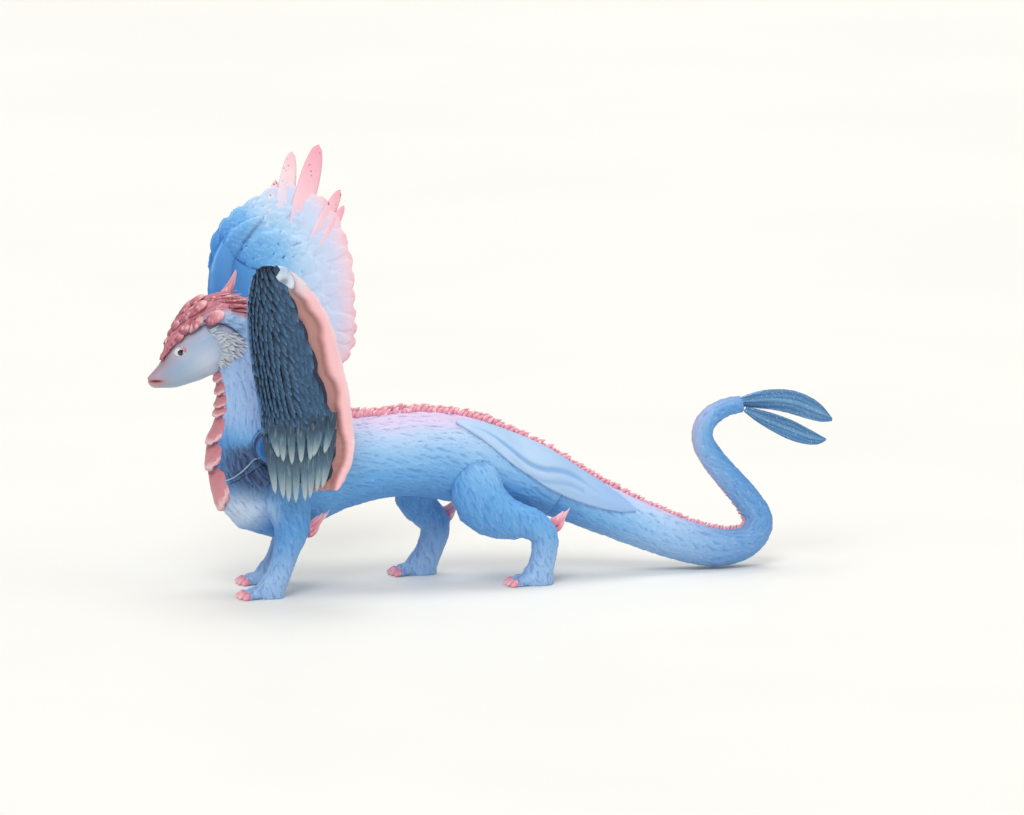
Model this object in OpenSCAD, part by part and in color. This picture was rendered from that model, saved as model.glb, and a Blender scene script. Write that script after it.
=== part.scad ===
/* [Figure] */
// Half-thickness of the two wing hubs along the shoulder axis
hub_t = 1.6; // [1.2:0.1:2]
// Clearance between a turning wing and its shoulder collar
wing_gap = 0.4; // [0.3:0.05:0.6]
// Lateral shift that centres the figure between its wing tips
centre_y = -3; // [-5:0.5:-1]

/* [Shoulder joint] */
// Radius of the peg that each wing turns on
peg_r = 3; // [2.5:0.1:3.5]
// Radial clearance of the peg in its collar
peg_clearance = 0.05; // [0.02:0.01:0.1]
// Outer radius of the shoulder collar
collar_r = 5.2; // [4.8:0.1:5.6]
// Distance from the keel to the collar's outer face
collar_face = 15; // [14.5:0.1:15.5]
// Distance from the keel to the inner end of the collar
collar_root = 5; // [4.5:0.1:6]

/* [Feet] */
// Distance from the keel to each front foot
front_foot_y = 13.5; // [13:0.5:15]
// Distance from the keel to each rear foot
rear_foot_y = 15.5; // [14.5:0.5:16.5]
// How far the right front leg stands behind the left one
front_stride = 8; // [4:1:9]
// Toes on each foot
toes = 4; // [4:1:5]

/* [Relief] */
// Scutes down the throat and breast
scutes = 7; // [6:1:8]
// Thickness of a scute at its free edge
scute_t = 1.9; // [1.4:0.1:2.2]
// Height of the tallest back spine
spine_h = 3.2; // [2.6:0.2:3.8]
// Spines along the back
back_spines = 26; // [20:1:30]
// Spines along the tail
tail_spines = 34; // [28:1:38]
// Height of the crest's peak over the crown
crest_h = 6; // [5:0.5:7]
// Thickness of the smooth hip panels
panel_t = 0.8; // [0.6:0.1:1]

/* [Hidden] */

BLUE = "#8fb4e3";
DEEP_BLUE = "#3f7fc4";
NIGHT_BLUE = "#2f5577";
PALE_BLUE = "#b4d4eb";
PINK = "#e7a3b0";
PALE_PINK = "#f3c8cc";
SILVER = "#cdd4de";
TEAL = "#4d7fae";

// Facets around each kind of piece, and rings to each station of a tube
round_sides = 48;
body_sides = 24;
limb_sides = 16;
trim_sides = 12;
toe_sides = 10;
claw_sides = 8;
body_rings = 3.2;
limb_rings = 2;

// The body in cross-sections from the fin root, along tail, back and neck, to the nose:
// centre x, y, z, half-width, then depth on the belly side and on the back side.
SPINE = [
    [82, -1, 52.3, 2.6, 2.6, 2.6],
    [76, -1, 51.2, 2.9, 2.9, 2.9],
    [70.5, -1.3, 47.8, 3.2, 3.2, 3.2],
    [68.6, -1.6, 42, 3.4, 3.4, 3.4],
    [72, -2, 35.3, 3.8, 3.8, 3.8],
    [77.7, -2.4, 28.4, 4.1, 4.1, 4.1],
    [83.4, -2.8, 21.6, 4.4, 4.3, 4.3],
    [86.8, -3, 14.4, 5, 5, 4.4],
    [82.5, -3, 8.4, 5.6, 5.6, 4.8],
    [73, -3, 7.2, 6.4, 6.6, 5.8],
    [62, -2.4, 9.6, 6.8, 6.8, 6.6],
    [50, -1.4, 14.2, 7.3, 7.2, 7.1],
    [36, -0.5, 20.4, 8.2, 7.8, 7.8],
    [24, 0, 26.2, 9.4, 8.8, 8.6],
    [12, 0, 31.8, 11, 11, 10.5],
    [0, 0, 36.6, 12.4, 13, 11.6],
    [-12, 0, 40.6, 13, 15.4, 12.6],
    [-26, 0, 42.6, 12.6, 14.6, 13],
    [-40, 0, 42.3, 12.4, 14.6, 12.6],
    [-54, 0, 41, 13, 16.4, 14],
    [-65, 0, 39.6, 13.6, 19.8, 16.6],
    [-74, 0, 38.6, 13.4, 21.6, 19],
    [-81, 0, 46.6, 11.8, 16, 14.6],
    [-82.8, 0, 55.4, 9.6, 10.4, 10.8],
    [-83.6, 0, 64, 8.3, 8.6, 9.2],
    [-86, 0, 72.5, 7.8, 7.4, 8.6],
    [-89.5, 0, 79.3, 8, 8.4, 8.6],
    [-95, 0, 82, 8.6, 10.6, 8.4],
    [-100.5, 0, 79.5, 7.9, 11, 7.2],
    [-105, 0, 75.6, 6.2, 9.4, 5.4],
    [-109, 0, 71.9, 4.3, 6.4, 3.7],
    [-112.6, 0, 69.6, 3.1, 3.3, 2.6],
    [-114.7, 0, 68.7, 1.9, 1.9, 1.7],
    [-115.2, 0, 68.5, 0.8, 0.8, 0.7]
];

// Stations of the spine where one piece ends and the next begins
TAIL_JOINT = 13.4;
NECK_JOINT = 21.7;
HEAD_JOINT = 26.4;
NOSE = len(SPINE) - 1;

// A leg in cross-sections from the sole up: x, y, z, half-width, then depth ahead and behind
FRONT_LEG = [
    [-79.4, front_foot_y, 0, 4, 4.8, 4.4],
    [-79.4, front_foot_y, 2.2, 4.1, 5, 4.4],
    [-77.4, front_foot_y, 5.6, 3.7, 4.1, 3.9],
    [-75.6, front_foot_y, 10, 3.7, 3.8, 3.8],
    [-73.8, front_foot_y - 0.3, 15.5, 4.1, 4.2, 4.3],
    [-72.2, front_foot_y - 1, 21.5, 5.1, 5.4, 6],
    [-72.6, front_foot_y - 2.2, 28.5, 5.8, 7.2, 7],
    [-74.2, front_foot_y - 4, 36, 5.6, 7.6, 7.4],
    [-75.2, front_foot_y - 6.5, 41, 3.4, 4.4, 4.4]
];
REAR_LEG = [
    [9, rear_foot_y, 0, 4, 5.4, 5],
    [9, rear_foot_y, 2.2, 4.1, 5.6, 5],
    [10, rear_foot_y, 5.6, 3.5, 4.2, 4.2],
    [11.2, rear_foot_y, 11, 3.6, 4.2, 4.1],
    [11, rear_foot_y - 0.2, 16, 4.2, 4.6, 4.6],
    [6.4, rear_foot_y - 0.8, 20.2, 5, 5.6, 4.8],
    [-0.6, rear_foot_y - 2, 22.4, 6.2, 8.2, 5.6],
    [-7, rear_foot_y - 4, 27.4, 6.8, 10.6, 7],
    [-10, rear_foot_y - 6.5, 35.5, 6.4, 8.4, 8],
    [-10.6, rear_foot_y - 9.5, 43, 4, 5, 5]
];

REAR_RIGHT_LEG = [
    [-20, rear_foot_y, 0, 4, 5.4, 5],
    [-20, rear_foot_y, 2.2, 4.1, 5.6, 5],
    [-18.4, rear_foot_y, 5.6, 3.6, 4.4, 4.4],
    [-16, rear_foot_y, 11, 3.8, 4.5, 4.4],
    [-15.4, rear_foot_y - 0.2, 16, 4.4, 5, 4.8],
    [-18.6, rear_foot_y - 0.8, 20.6, 5.1, 5.8, 4.8],
    [-22.2, rear_foot_y - 2, 25, 6.2, 7, 5.6],
    [-21.4, rear_foot_y - 4, 31, 6.8, 7.8, 7.4],
    [-18, rear_foot_y - 6.5, 37, 6.4, 7.6, 8],
    [-16, rear_foot_y - 9.5, 43, 4, 5, 5]
];

// The two lobes of the tail fin: x, y, z, half-thickness, then half-breadth above and below
UPPER_FIN = [
    [82.3, -0.2, 52.6, 1, 1.8, 1.4],
    [87, 0.2, 53, 1.2, 2.8, 2.6],
    [93, 1, 52.9, 1.1, 3.4, 3.4],
    [100, 2.4, 51.6, 1, 3.8, 3.9],
    [107, 4, 48.8, 0.9, 3.4, 3.6],
    [112, 5.2, 46, 0.8, 2, 2.3],
    [115, 6, 44.3, 0.4, 0.4, 0.4]
];
LOWER_FIN = [
    [82.9, -2.3, 50.7, 1, 1, 1],
    [87, -3.2, 48.6, 1.1, 2.1, 2],
    [92, -4.4, 46.2, 1.1, 2.9, 2.8],
    [97, -5.8, 43.8, 1, 3.2, 3.1],
    [101.6, -7, 41.8, 0.9, 2.7, 2.7],
    [105.4, -8, 40.7, 0.8, 1.8, 1.8],
    [108, -8.6, 40.7, 0.4, 0.4, 0.4]
];

// Left wing, folded at the wrist: height, leading edge, trailing edge
LEFT_COVERTS = [
    [110.4, -90.5, -87],
    [106, -93, -83],
    [96, -93, -78],
    [85, -91, -72.6],
    [72, -88.4, -67.6],
    [58, -85, -63.2],
    [46, -81, -62.2],
    [38, -76.5, -64]
];
LEFT_LINING = [
    [109, -87.5, -82],
    [100, -86, -72.6],
    [92, -84, -67.2],
    [81, -80, -62.6],
    [66, -76, -58.4],
    [53, -73, -56.2],
    [42, -71, -57],
    [35, -68, -61.5]
];

// Right wing, spread: bearing in degrees from the fan centre, and reach
FAN_CENTRE = [-80, 74];
RIGHT_REACH = [
    [-16, 36],
    [0, 41],
    [18, 44],
    [38, 52],
    [50, 57],
    [60, 57],
    [68, 54],
    [80, 46],
    [90, 40.5],
    [100, 34],
    [108, 28]
];
// Long feathers at the top of the right wing: bearing, reach
RIGHT_PRIMARIES = [
    [40, 57],
    [47.5, 62],
    [54, 66.5],
    [59.5, 71],
    [65, 66.5],
    [71, 58]
];

shoulder = [-79.2, collar_face, 48.4];
eye_at = [-106.5, 4.3, 78.6];
eye_r = 1.7;
pin_r = 2;
pin_l = 12;
pin_fit = 0.02;
bead_r = 0.8;

// How far a hole is cut past the faces it opens in, and the peg stops short of its blind end
past = 1;
toe_spread = 44;

// Knuckles of a toe and ends of its claw: distance ahead, height, radius
TOE = [
    [2.5, 2, 1.9],
    [6, 1.7, 1.6],
    [8.2, 1, 1.2]
];
CLAW = [
    [8.6, 1.3, 0.95],
    [10.4, 0.7, 0.4]
];

// Size of the block that trims the feet at the floor
wide = 400;
deep = 20;

sheet_t = 0.7;
nape_spines = 9;

// Glue line under each plate that lies on the skin, and between the layers of a wing
glue = 0.15;
layer = sheet_t + glue;

// Distance of each wing from the keel where it hangs straight, and how it leans out above a height
fold_y = 22.4;
fold_z = 40;
fold_curve = 0.0032;
spread_y = 20.6;
spread_z = 45;
spread_curve = 0.003;

// Stations between which the surface pieces lie
CREST = [25.9, 29.9];
RUFF = [25.4, 27.3];
THROAT = [21.3, 25.1];
PANEL = [11.5, 16.4];
NAPE_RIDGE = [23.3, 25.7];
BACK_RIDGE = [TAIL_JOINT + 0.05, 19.6];
TAIL_RIDGE = [5.4, TAIL_JOINT - 0.05];
ridge_angle = 12;

// Share of its step that each scute covers
scute_share = 0.96;

// Spike at the back of the crest: x, y, z, half-width, then depth on each side
SPIKE = [
    [-97, 0, 92, 2.4, 2.6, 2.6],
    [-92.4, 0, 96.4, 2, 2.4, 2.2],
    [-88.8, 0, 99.8, 1.2, 1.5, 1.3],
    [-86.4, 0, 103.5, 0.2, 0.2, 0.2]
];

// Feather tufts behind the elbow and above the hock
ELBOW_SPUR = [
    [-68, front_foot_y - 1, 19.5, 1.6, 2.8, 2.8],
    [-63.6, front_foot_y - 0.6, 22.8, 1.3, 2.6, 2.6],
    [-59.6, front_foot_y - 0.2, 27, 0.3, 0.4, 0.4]
];
HOCK_SPUR = [
    [13.4, rear_foot_y, 17, 1.6, 2.4, 2.4],
    [16.6, rear_foot_y + 0.2, 19.6, 1.3, 2.3, 2.3],
    [19.4, rear_foot_y + 0.4, 24, 0.3, 0.4, 0.4]
];

// From the left hock back to the right one
hock_gap = REAR_RIGHT_LEG[4][0] - REAR_LEG[4][0];

// Wing arms from the hub to the wrist: x, y, z, half-thickness, then breadth ahead and behind
LEFT_ARM = [
    [-79.2, 18.6, 44.6, 1.8, 3, 3],
    [-79.6, 19, 50, 2, 4, 4],
    [-81, 20.4, 58, 1.9, 3.8, 3.8],
    [-84.6, 22.8, 72, 1.8, 3.2, 3.2],
    [-88, 26.4, 86, 1.7, 2.8, 2.8],
    [-89.8, 31, 98, 1.6, 2.6, 2.6],
    [-89.4, 34.6, 105.6, 1.4, 2.6, 2.6],
    [-88.6, 36, 108.6, 0.8, 1.4, 1.4]
];
RIGHT_ARM = [
    [-79.2, 18, 44.6, 1.8, 3, 3],
    [-79.6, 17.6, 50, 1.8, 4, 4],
    [-81, 18.4, 60, 1.8, 4.6, 4.6],
    [-83, 20.4, 74, 1.7, 5, 5],
    [-84, 23.5, 88, 1.6, 4.8, 4.8],
    [-83.4, 26.5, 98, 1.4, 4.4, 4.4],
    [-79.6, 29.5, 106, 1.1, 3.6, 3.6],
    [-73.4, 31.9, 111.4, 0.8, 2.4, 2.4],
    [-67.4, 33.4, 114.6, 0.5, 0.8, 0.8]
];

// Tips of the long feathers at the bottom of the left wing
PRIMARY_TIPS = [
    [-79, 39],
    [-76.4, 33.6],
    [-73.6, 31.4],
    [-70.6, 30.8],
    [-67.6, 32],
    [-64.6, 34.6],
    [-62.4, 38.6]
];
PRIMARY_ROOT = [-83, 66];
primary_step = [3.2, 0];
primary_w = 3.6;

// Breadth of the long feathers of the right wing, and where they leave it
plume_w = 7;
plume_root = 24;

// ---------- curves and surfaces ----------

// Smooth value at station t of a list of rows
function between(rows, t) =
    let (
        last = len(rows) - 1,
        i = min(max(floor(t), 0), last - 1),
        f = t - i,
        a = rows[max(i - 1, 0)],
        b = rows[i],
        c = rows[i + 1],
        d = rows[min(i + 2, last)]
    )
    0.5 * (2 * b + (c - a) * f + (2 * a - 5 * b + 4 * c - d) * f * f + (3 * b - a - 3 * c + d) * f * f * f);

function place(row) = [row[0], row[1], row[2]];
function unit(v) = v / norm(v);

// Direction of the centre line at station t
function heading(rows, t) =
    let (last = len(rows) - 1, step = 0.05)
    unit(place(between(rows, min(t + step, last))) - place(between(rows, max(t - step, 0))));

// Point on the skin at station t and angle a, which is 0 on the belly and 180 on the back
function skin(rows, t, a, grow = 0) =
    let (
        row = between(rows, t),
        ahead = heading(rows, t),
        side = unit([0, 1, 0] - ahead * ahead[1]),
        down = cross(ahead, side),
        depth = cos(a) > 0 ? row[4] : row[5]
    )
    place(row) + side * (row[3] + grow) * sin(a) + down * (depth + grow) * cos(a);

// Closed tube over the stations t0 to t1, with facets that mirror each other left and right
module tube(rows, t0, t1, sides, per_station) {
    rings = round((t1 - t0) * per_station);
    points = [
        for (i = [0:rings], j = [0:sides - 1])
            skin(rows, t0 + (t1 - t0) * i / rings, 360 * j / sides)
    ];
    walls = [
        for (i = [0:rings - 1], j = [0:sides - 1])
            let (
                a = i * sides + j,
                b = i * sides + (j + 1) % sides,
                c = a + sides,
                d = b + sides
            )
            each j < sides / 2 ? [[a, d, c], [a, b, d]] : [[a, b, c], [b, d, c]]
    ];
    start = [for (j = [sides - 1:-1:0]) j];
    end = [for (j = [0:sides - 1]) rings * sides + j];
    polyhedron(points, concat(walls, [start, end]));
}

// Closed slab between two grids of points with nu by nv cells
module slab(outer, inner, nu, nv) {
    row = nv + 1;
    count = (nu + 1) * row;
    points = concat(outer, inner);
    faces = [
        for (i = [0:nu - 1], j = [0:nv - 1])
            let (p = i * row + j, q = p + row)
            each [
                [p, q + 1, q], [p, p + 1, q + 1],
                [p + count, q + count, q + 1 + count], [p + count, q + 1 + count, p + 1 + count]
            ]
    ];
    sides = [
        for (i = [0:nu - 1])
            let (p = i * row, q = p + row, r = p + nv, s = r + row)
            each [
                [p, q + count, p + count], [p, q, q + count],
                [r, s + count, s], [r, r + count, s + count]
            ]
    ];
    ends = [
        for (j = [0:nv - 1])
            let (p = j, q = nu * row + j)
            each [
                [p, p + 1 + count, p + 1], [p, p + count, p + 1 + count],
                [q, q + 1 + count, q + count], [q, q + 1, q + 1 + count]
            ]
    ];
    polyhedron(points, concat(faces, sides, ends));
}

// Plate lying on the skin over the stations of a range; middle and half_angle are functions of 0 to 1
// along it, and rise also of -1 to 1 across it
module plate(range, middle, half_angle, rise, nu, nv) {
    function at(i, j, grow) =
        let (f = i / nu)
        skin(SPINE, range[0] + (range[1] - range[0]) * f, middle(f) + half_angle(f) * (2 * j / nv - 1), grow);
    slab(
        [for (i = [0:nu], j = [0:nv]) at(i, j, glue + rise(i / nu, 2 * j / nv - 1))],
        [for (i = [0:nu], j = [0:nv]) at(i, j, glue)],
        nu, nv
    );
}

// Curved sheet in a wing: spot is a function of (u, v) from 0 to 1, and away its distance from the keel
module sheet(spot, away, nu, nv, thickness) {
    function at(i, j, off) =
        let (p = spot(i / nu, j / nv))
        [p[0], away(p) + off, p[1]];
    slab(
        [for (i = [0:nu], j = [0:nv]) at(i, j, thickness)],
        [for (i = [0:nu], j = [0:nv]) at(i, j, 0)],
        nu, nv
    );
}

module centred() {
    translate([0, centre_y, 0])
        children();
}

module on_left() {
    centred()
        mirror([0, 1, 0])
            children();
}

module on_right() {
    centred()
        children();
}

// Cylinder along the shoulder axis from y = from to y = to
module shoulder_rod(r, from, to) {
    translate([shoulder[0], from, shoulder[2]])
        rotate([-90, 0, 0])
            cylinder(h = to - from, r = r, $fn = round_sides);
}

// Pin across the joint at station t
module joint_pin(t, clearance = 0) {
    ahead = heading(SPINE, t);
    translate(place(between(SPINE, t)))
        rotate([0, atan2(ahead[0], ahead[2]), 0])
            translate([0, 0, -pin_l / 2 - clearance])
                cylinder(h = pin_l + 2 * clearance, r = pin_r + clearance, $fn = round_sides);
}

// ---------- body ----------

module collar_sockets() {
    shoulder_rod(collar_r, collar_root, collar_face);
    mirror([0, 1, 0])
        shoulder_rod(collar_r, collar_root, collar_face);
}

module trunk() {
    tube(SPINE, TAIL_JOINT, NECK_JOINT, body_sides, body_rings);
}

module torso() {
    color(BLUE)
        centred()
            difference() {
                trunk();
                collar_sockets();
                joint_pin(TAIL_JOINT, pin_fit);
                joint_pin(NECK_JOINT, pin_fit);
            }
}

module throat() {
    tube(SPINE, NECK_JOINT, HEAD_JOINT, body_sides, body_rings);
}

module neck() {
    color(BLUE)
        centred()
            difference() {
                throat();
                collar_sockets();
                joint_pin(NECK_JOINT, pin_fit);
                joint_pin(HEAD_JOINT, pin_fit);
            }
}

module skull() {
    tube(SPINE, HEAD_JOINT, NOSE, body_sides, body_rings);
}

module head() {
    color(PALE_BLUE)
        centred()
            difference() {
                skull();
                joint_pin(HEAD_JOINT, pin_fit);
                eyeball(1);
                eyeball(-1);
            }
}

module tail() {
    color(BLUE)
        centred()
            difference() {
                tube(SPINE, 0, TAIL_JOINT, limb_sides, body_rings);
                joint_pin(TAIL_JOINT, pin_fit);
            }
}

module pin(t) {
    color("silver")
        centred()
            joint_pin(t);
}

module eyeball(side) {
    translate([eye_at[0], side * eye_at[1], eye_at[2]])
        sphere(r = eye_r, $fn = round_sides);
}

module eye(side) {
    color("black")
        centred()
            eyeball(side);
}

// Height of a saw tooth that rises fast and falls slowly, at fraction f of a row of count teeth
function tooth(f, count) =
    let (part = f * count - floor(f * count + 0.001))
    part < 0.2 ? 0.15 : part < 0.5 ? 1 : 0.5;

// Height of the crest: shingled, low at the brow, and swept up into a peak behind the crown
function crest_rise(f, s) =
    let (peak = pow(1 - f, 1.7) * (0.4 + 0.8 * min(f / 0.22, 1)))
    0.7 + 1.1 * tooth(1 - f, 7) * (1 - 0.5 * f) + crest_h * peak * pow(1 - s * s, 1.2);

module crest_plate() {
    plate(CREST, function (f) 180, function (f) 64 - 44 * f, function (f, s) crest_rise(f, s), 20, 8);
}

module head_crest() {
    color(PINK)
        centred()
            crest_plate();
}

module crest_spike() {
    color(PINK)
        centred()
            difference() {
                tube(SPIKE, 0, len(SPIKE) - 1, trim_sides, body_rings);
                crest_plate();
                skull();
            }
}

// Shingled fan of fur behind a cheek; side is 1 on the right and -1 on the left
module cheek_ruff(side) {
    color(SILVER)
        centred()
            plate(
                RUFF, function (f) side * 84, function (f) 10 + 20 * sin(180 * f),
                function (f, s) 0.1 + 0.9 * tooth(1 - f, 4), 16, 6
            );
}

module throat_scutes() {
    step = (THROAT[1] - THROAT[0]) / scutes;
    color(PINK)
        centred()
            for (k = [0:scutes - 1])
                plate(
                    [THROAT[0] + step * k, THROAT[0] + step * (k + scute_share)], function (f) 0,
                    function (f) 50 - 14 * abs(k / scutes - 0.4), function (f, s) scute_t * (1 - 0.8 * f),
                    3, 10
                );
}

// Strip of count spines along the back, from low at the tail end of its range to high at the head end
module ridge(range, count, low, high) {
    color(PINK)
        centred()
            plate(
                range, function (f) 180, function (f) ridge_angle,
                function (f, s) spine_h * (low + (high - low) * f) * tooth(f, count), 3 * count, 2
            );
}

// Smooth leaf-shaped panel over a hip; side is 1 on the right and -1 on the left
module hip_panel(side) {
    color(PALE_BLUE)
        centred()
            plate(
                PANEL, function (f) side * (118 + 26 * f * f),
                function (f) 36 * pow(sin(180 * pow(f, 0.8)), 0.8) + 2, function (f, s) panel_t, 16, 6
            );
}

// ---------- legs ----------

module limb(rows) {
    tube(rows, 0, len(rows) - 1, limb_sides, limb_rings);
}

function toe_turn(k) = (k / (toes - 1) - 0.5) * toe_spread;

// Rounded segment between two balls, each given as its distance ahead, height and radius
module segment(from, to, sides) {
    hull()
        for (ball = [from, to])
            translate([-ball[0], 0, ball[1]])
                sphere(r = ball[2], $fn = sides);
}

// One toe ahead of the ankle, in two segments, pointing along -X before it is turned outward
module toe(row, k) {
    translate(place(row))
        rotate([0, 0, toe_turn(k)]) {
            segment(TOE[0], TOE[1], toe_sides);
            segment(TOE[1], TOE[2], toe_sides);
        }
}

module paw(row) {
    for (k = [0:toes - 1])
        toe(row, k);
}

module below_floor() {
    translate([0, 0, -deep / 2])
        cube([wide, wide, deep], center = true);
}

module leg(rows, shift) {
    color(BLUE)
        difference() {
            translate([shift, 0, 0]) {
                limb(rows);
                paw(rows[0]);
            }
            trunk();
            throat();
            below_floor();
        }
}

module claws(rows, shift) {
    color(PINK)
        translate([shift, 0, 0])
            difference() {
                translate(place(rows[0]))
                    for (k = [0:toes - 1])
                        rotate([0, 0, toe_turn(k)])
                            segment(CLAW[0], CLAW[1], claw_sides);
                paw(rows[0]);
                below_floor();
            }
}

// Tuft behind an elbow, on a leg that stands stride further back
module elbow_spur(stride) {
    spur(ELBOW_SPUR, stride, FRONT_LEG, stride);
}

// Tuft above a hock, moved by shift from the left one
module hock_spur(leg_rows, shift) {
    spur(HOCK_SPUR, shift, leg_rows, 0);
}

// Tuft standing out of a leg; shift moves the tuft and stride moves the leg
module spur(rows, shift, leg_rows, stride) {
    color(PINK)
        difference() {
            translate([shift, 0, 0])
                tube(rows, 0, len(rows) - 1, trim_sides, body_rings);
            translate([stride, 0, 0])
                limb(leg_rows);
        }
}

// ---------- tail fin ----------

module lobe(rows) {
    color(TEAL)
        centred()
            tube(rows, 0, len(rows) - 1, trim_sides, limb_rings);
}

// ---------- wings ----------

module collar() {
    color(DEEP_BLUE)
        difference() {
            union() {
                shoulder_rod(collar_r, collar_root, collar_face);
                translate([shoulder[0], collar_face - bead_r, shoulder[2]])
                    rotate([90, 0, 0])
                        rotate_extrude($fn = round_sides)
                            translate([collar_r, 0])
                                circle(r = bead_r, $fn = round_sides);
            }
            shoulder_rod(peg_r + peg_clearance, collar_root - past, collar_face + past);
        }
}

// Peg, hub and flattened arm of a wing
module arm(rows) {
    hub = collar_face + wing_gap;
    color(NIGHT_BLUE)
        union() {
            shoulder_rod(peg_r, collar_root + past, hub + hub_t);
            shoulder_rod(collar_r, hub, hub + hub_t);
            tube(rows, 0, len(rows) - 1, trim_sides, limb_rings);
        }
}

function folded(p) = fold_y + fold_curve * pow(max(p[1] - fold_z, 0), 2);
function spread(p) = spread_y + spread_curve * pow(max(p[1] - spread_z, 0), 2);

// Point in the wing plane of a folded layer: u runs up to the wrist and v back from the leading edge
function folded_spot(rows, u, v, notches, notch) =
    let (row = between(rows, (1 - u) * (len(rows) - 1)), ripple = notch * abs(sin(180 * notches * u)))
    [row[1] + (row[2] - row[1] + ripple) * v, row[0]];

module folded_layer(rows, offset, notches, notch) {
    sheet(
        function (u, v) folded_spot(rows, u, v, notches, notch), function (p) folded(p) + offset,
        3 * notches, 4, sheet_t
    );
}

function reach(rows, bearing) =
    let (i = max([for (k = [0:len(rows) - 2]) if (rows[k][0] <= bearing) k]))
    let (f = (bearing - rows[i][0]) / (rows[i + 1][0] - rows[i][0]))
    between([for (r = rows) r[1]], i + f);

// Layer of the spread wing between two bearings, from share v0 to share v1 of the wing's reach
module spread_layer(b0, b1, v0, v1, offset, notches, notch) {
    sheet(
        function (u, v)
            let (
                bearing = b0 + (b1 - b0) * u,
                far = reach(RIGHT_REACH, bearing) * v1 + notch * (abs(sin(180 * notches * u)) - 1),
                near = reach(RIGHT_REACH, bearing) * v0,
                r = near + (far - near) * v
            )
            FAN_CENTRE + r * [cos(bearing), sin(bearing)],
        function (p) spread(p) + offset, 3 * notches, 4, sheet_t
    );
}

// Pointed feather from root to tip in a wing plane
module feather(root, tip, breadth, away) {
    along = tip - root;
    across = [along[1], -along[0]] / norm(along);
    sheet(
        function (u, v) root + along * u + across * breadth * (v - 0.5) * leaf(u),
        away, 8, 2, sheet_t
    );
}

// Share of a feather's full breadth at fraction u of its length
function leaf(u) = 0.08 + 0.92 * pow(sin(180 * min(0.2 + 0.8 * u, 1)), 0.6);

module left_wing_coverts() {
    color(NIGHT_BLUE)
        folded_layer(LEFT_COVERTS, 2 * layer, 9, 1.2);
}

module left_wing_lining() {
    color(PALE_PINK)
        folded_layer(LEFT_LINING, 0, 10, 1.4);
}

module left_wing_primaries() {
    last = len(PRIMARY_TIPS) - 1;
    color(SILVER)
        for (k = [0:last])
            feather(
                PRIMARY_ROOT + k * primary_step, PRIMARY_TIPS[k], primary_w,
                function (p) folded(p) + layer + (k % 2) * glue / 2
            );
}

module right_wing_fan() {
    color(PALE_PINK)
        spread_layer(-16, 100, 0.3, 1, 0, 18, 1.2);
}

module right_wing_scales() {
    color(DEEP_BLUE)
        spread_layer(-8, 104, 0.12, 0.72, -layer, 12, 0.9);
}

module right_wing_coverts() {
    color(NIGHT_BLUE)
        spread_layer(-14, 104, 0.12, 0.9, 2 * layer, 12, 0.9);
}

module right_wing_primaries() {
    color(PINK)
        for (row = RIGHT_PRIMARIES)
            let (out = [cos(row[0]), sin(row[0])])
            feather(
                FAN_CENTRE + plume_root * out, FAN_CENTRE + row[1] * out, plume_w,
                function (p) spread(p) + layer
            );
}

torso();
neck();
head();
tail();
pin(NECK_JOINT);  // neck_pin
pin(HEAD_JOINT);  // head_pin
pin(TAIL_JOINT);  // tail_pin
eye(-1);  // left_eye
eye(1);  // right_eye
head_crest();
crest_spike();
cheek_ruff(-1);  // left_cheek_ruff
cheek_ruff(1);  // right_cheek_ruff
throat_scutes();
ridge(NAPE_RIDGE, nape_spines, 0.7, 0.4);  // nape_ridge
ridge(BACK_RIDGE, back_spines, 0.7, 1);  // back_ridge
ridge(TAIL_RIDGE, tail_spines, 0.35, 0.7);  // tail_ridge
hip_panel(-1);  // left_hip_panel
hip_panel(1);  // right_hip_panel
on_left() leg(FRONT_LEG, 0);  // front_left_leg
on_right() leg(FRONT_LEG, front_stride);  // front_right_leg
on_left() leg(REAR_LEG, 0);  // rear_left_leg
on_right() leg(REAR_RIGHT_LEG, 0);  // rear_right_leg
on_left() claws(FRONT_LEG, 0);  // front_left_claws
on_right() claws(FRONT_LEG, front_stride);  // front_right_claws
on_left() claws(REAR_LEG, 0);  // rear_left_claws
on_right() claws(REAR_RIGHT_LEG, 0);  // rear_right_claws
on_left() elbow_spur(0);  // left_elbow_spur
on_right() elbow_spur(front_stride);  // right_elbow_spur
on_left() hock_spur(REAR_LEG, 0);  // left_hock_spur
on_right() hock_spur(REAR_RIGHT_LEG, hock_gap);  // right_hock_spur
lobe(UPPER_FIN);  // tail_fin_upper
lobe(LOWER_FIN);  // tail_fin_lower
on_left() collar();  // left_collar
on_right() collar();  // right_collar
on_left() arm(LEFT_ARM);  // left_wing_arm
on_left() left_wing_coverts();
on_left() left_wing_lining();
on_left() left_wing_primaries();
on_right() arm(RIGHT_ARM);  // right_wing_arm
on_right() right_wing_scales();
on_right() right_wing_fan();
on_right() right_wing_coverts();
on_right() right_wing_primaries();
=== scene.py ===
"""Looks of a winged, four-legged painted creature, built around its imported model."""

import math

import bpy
import numpy as np
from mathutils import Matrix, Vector
from mathutils.bvhtree import BVHTree
from mathutils.kdtree import KDTree


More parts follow.
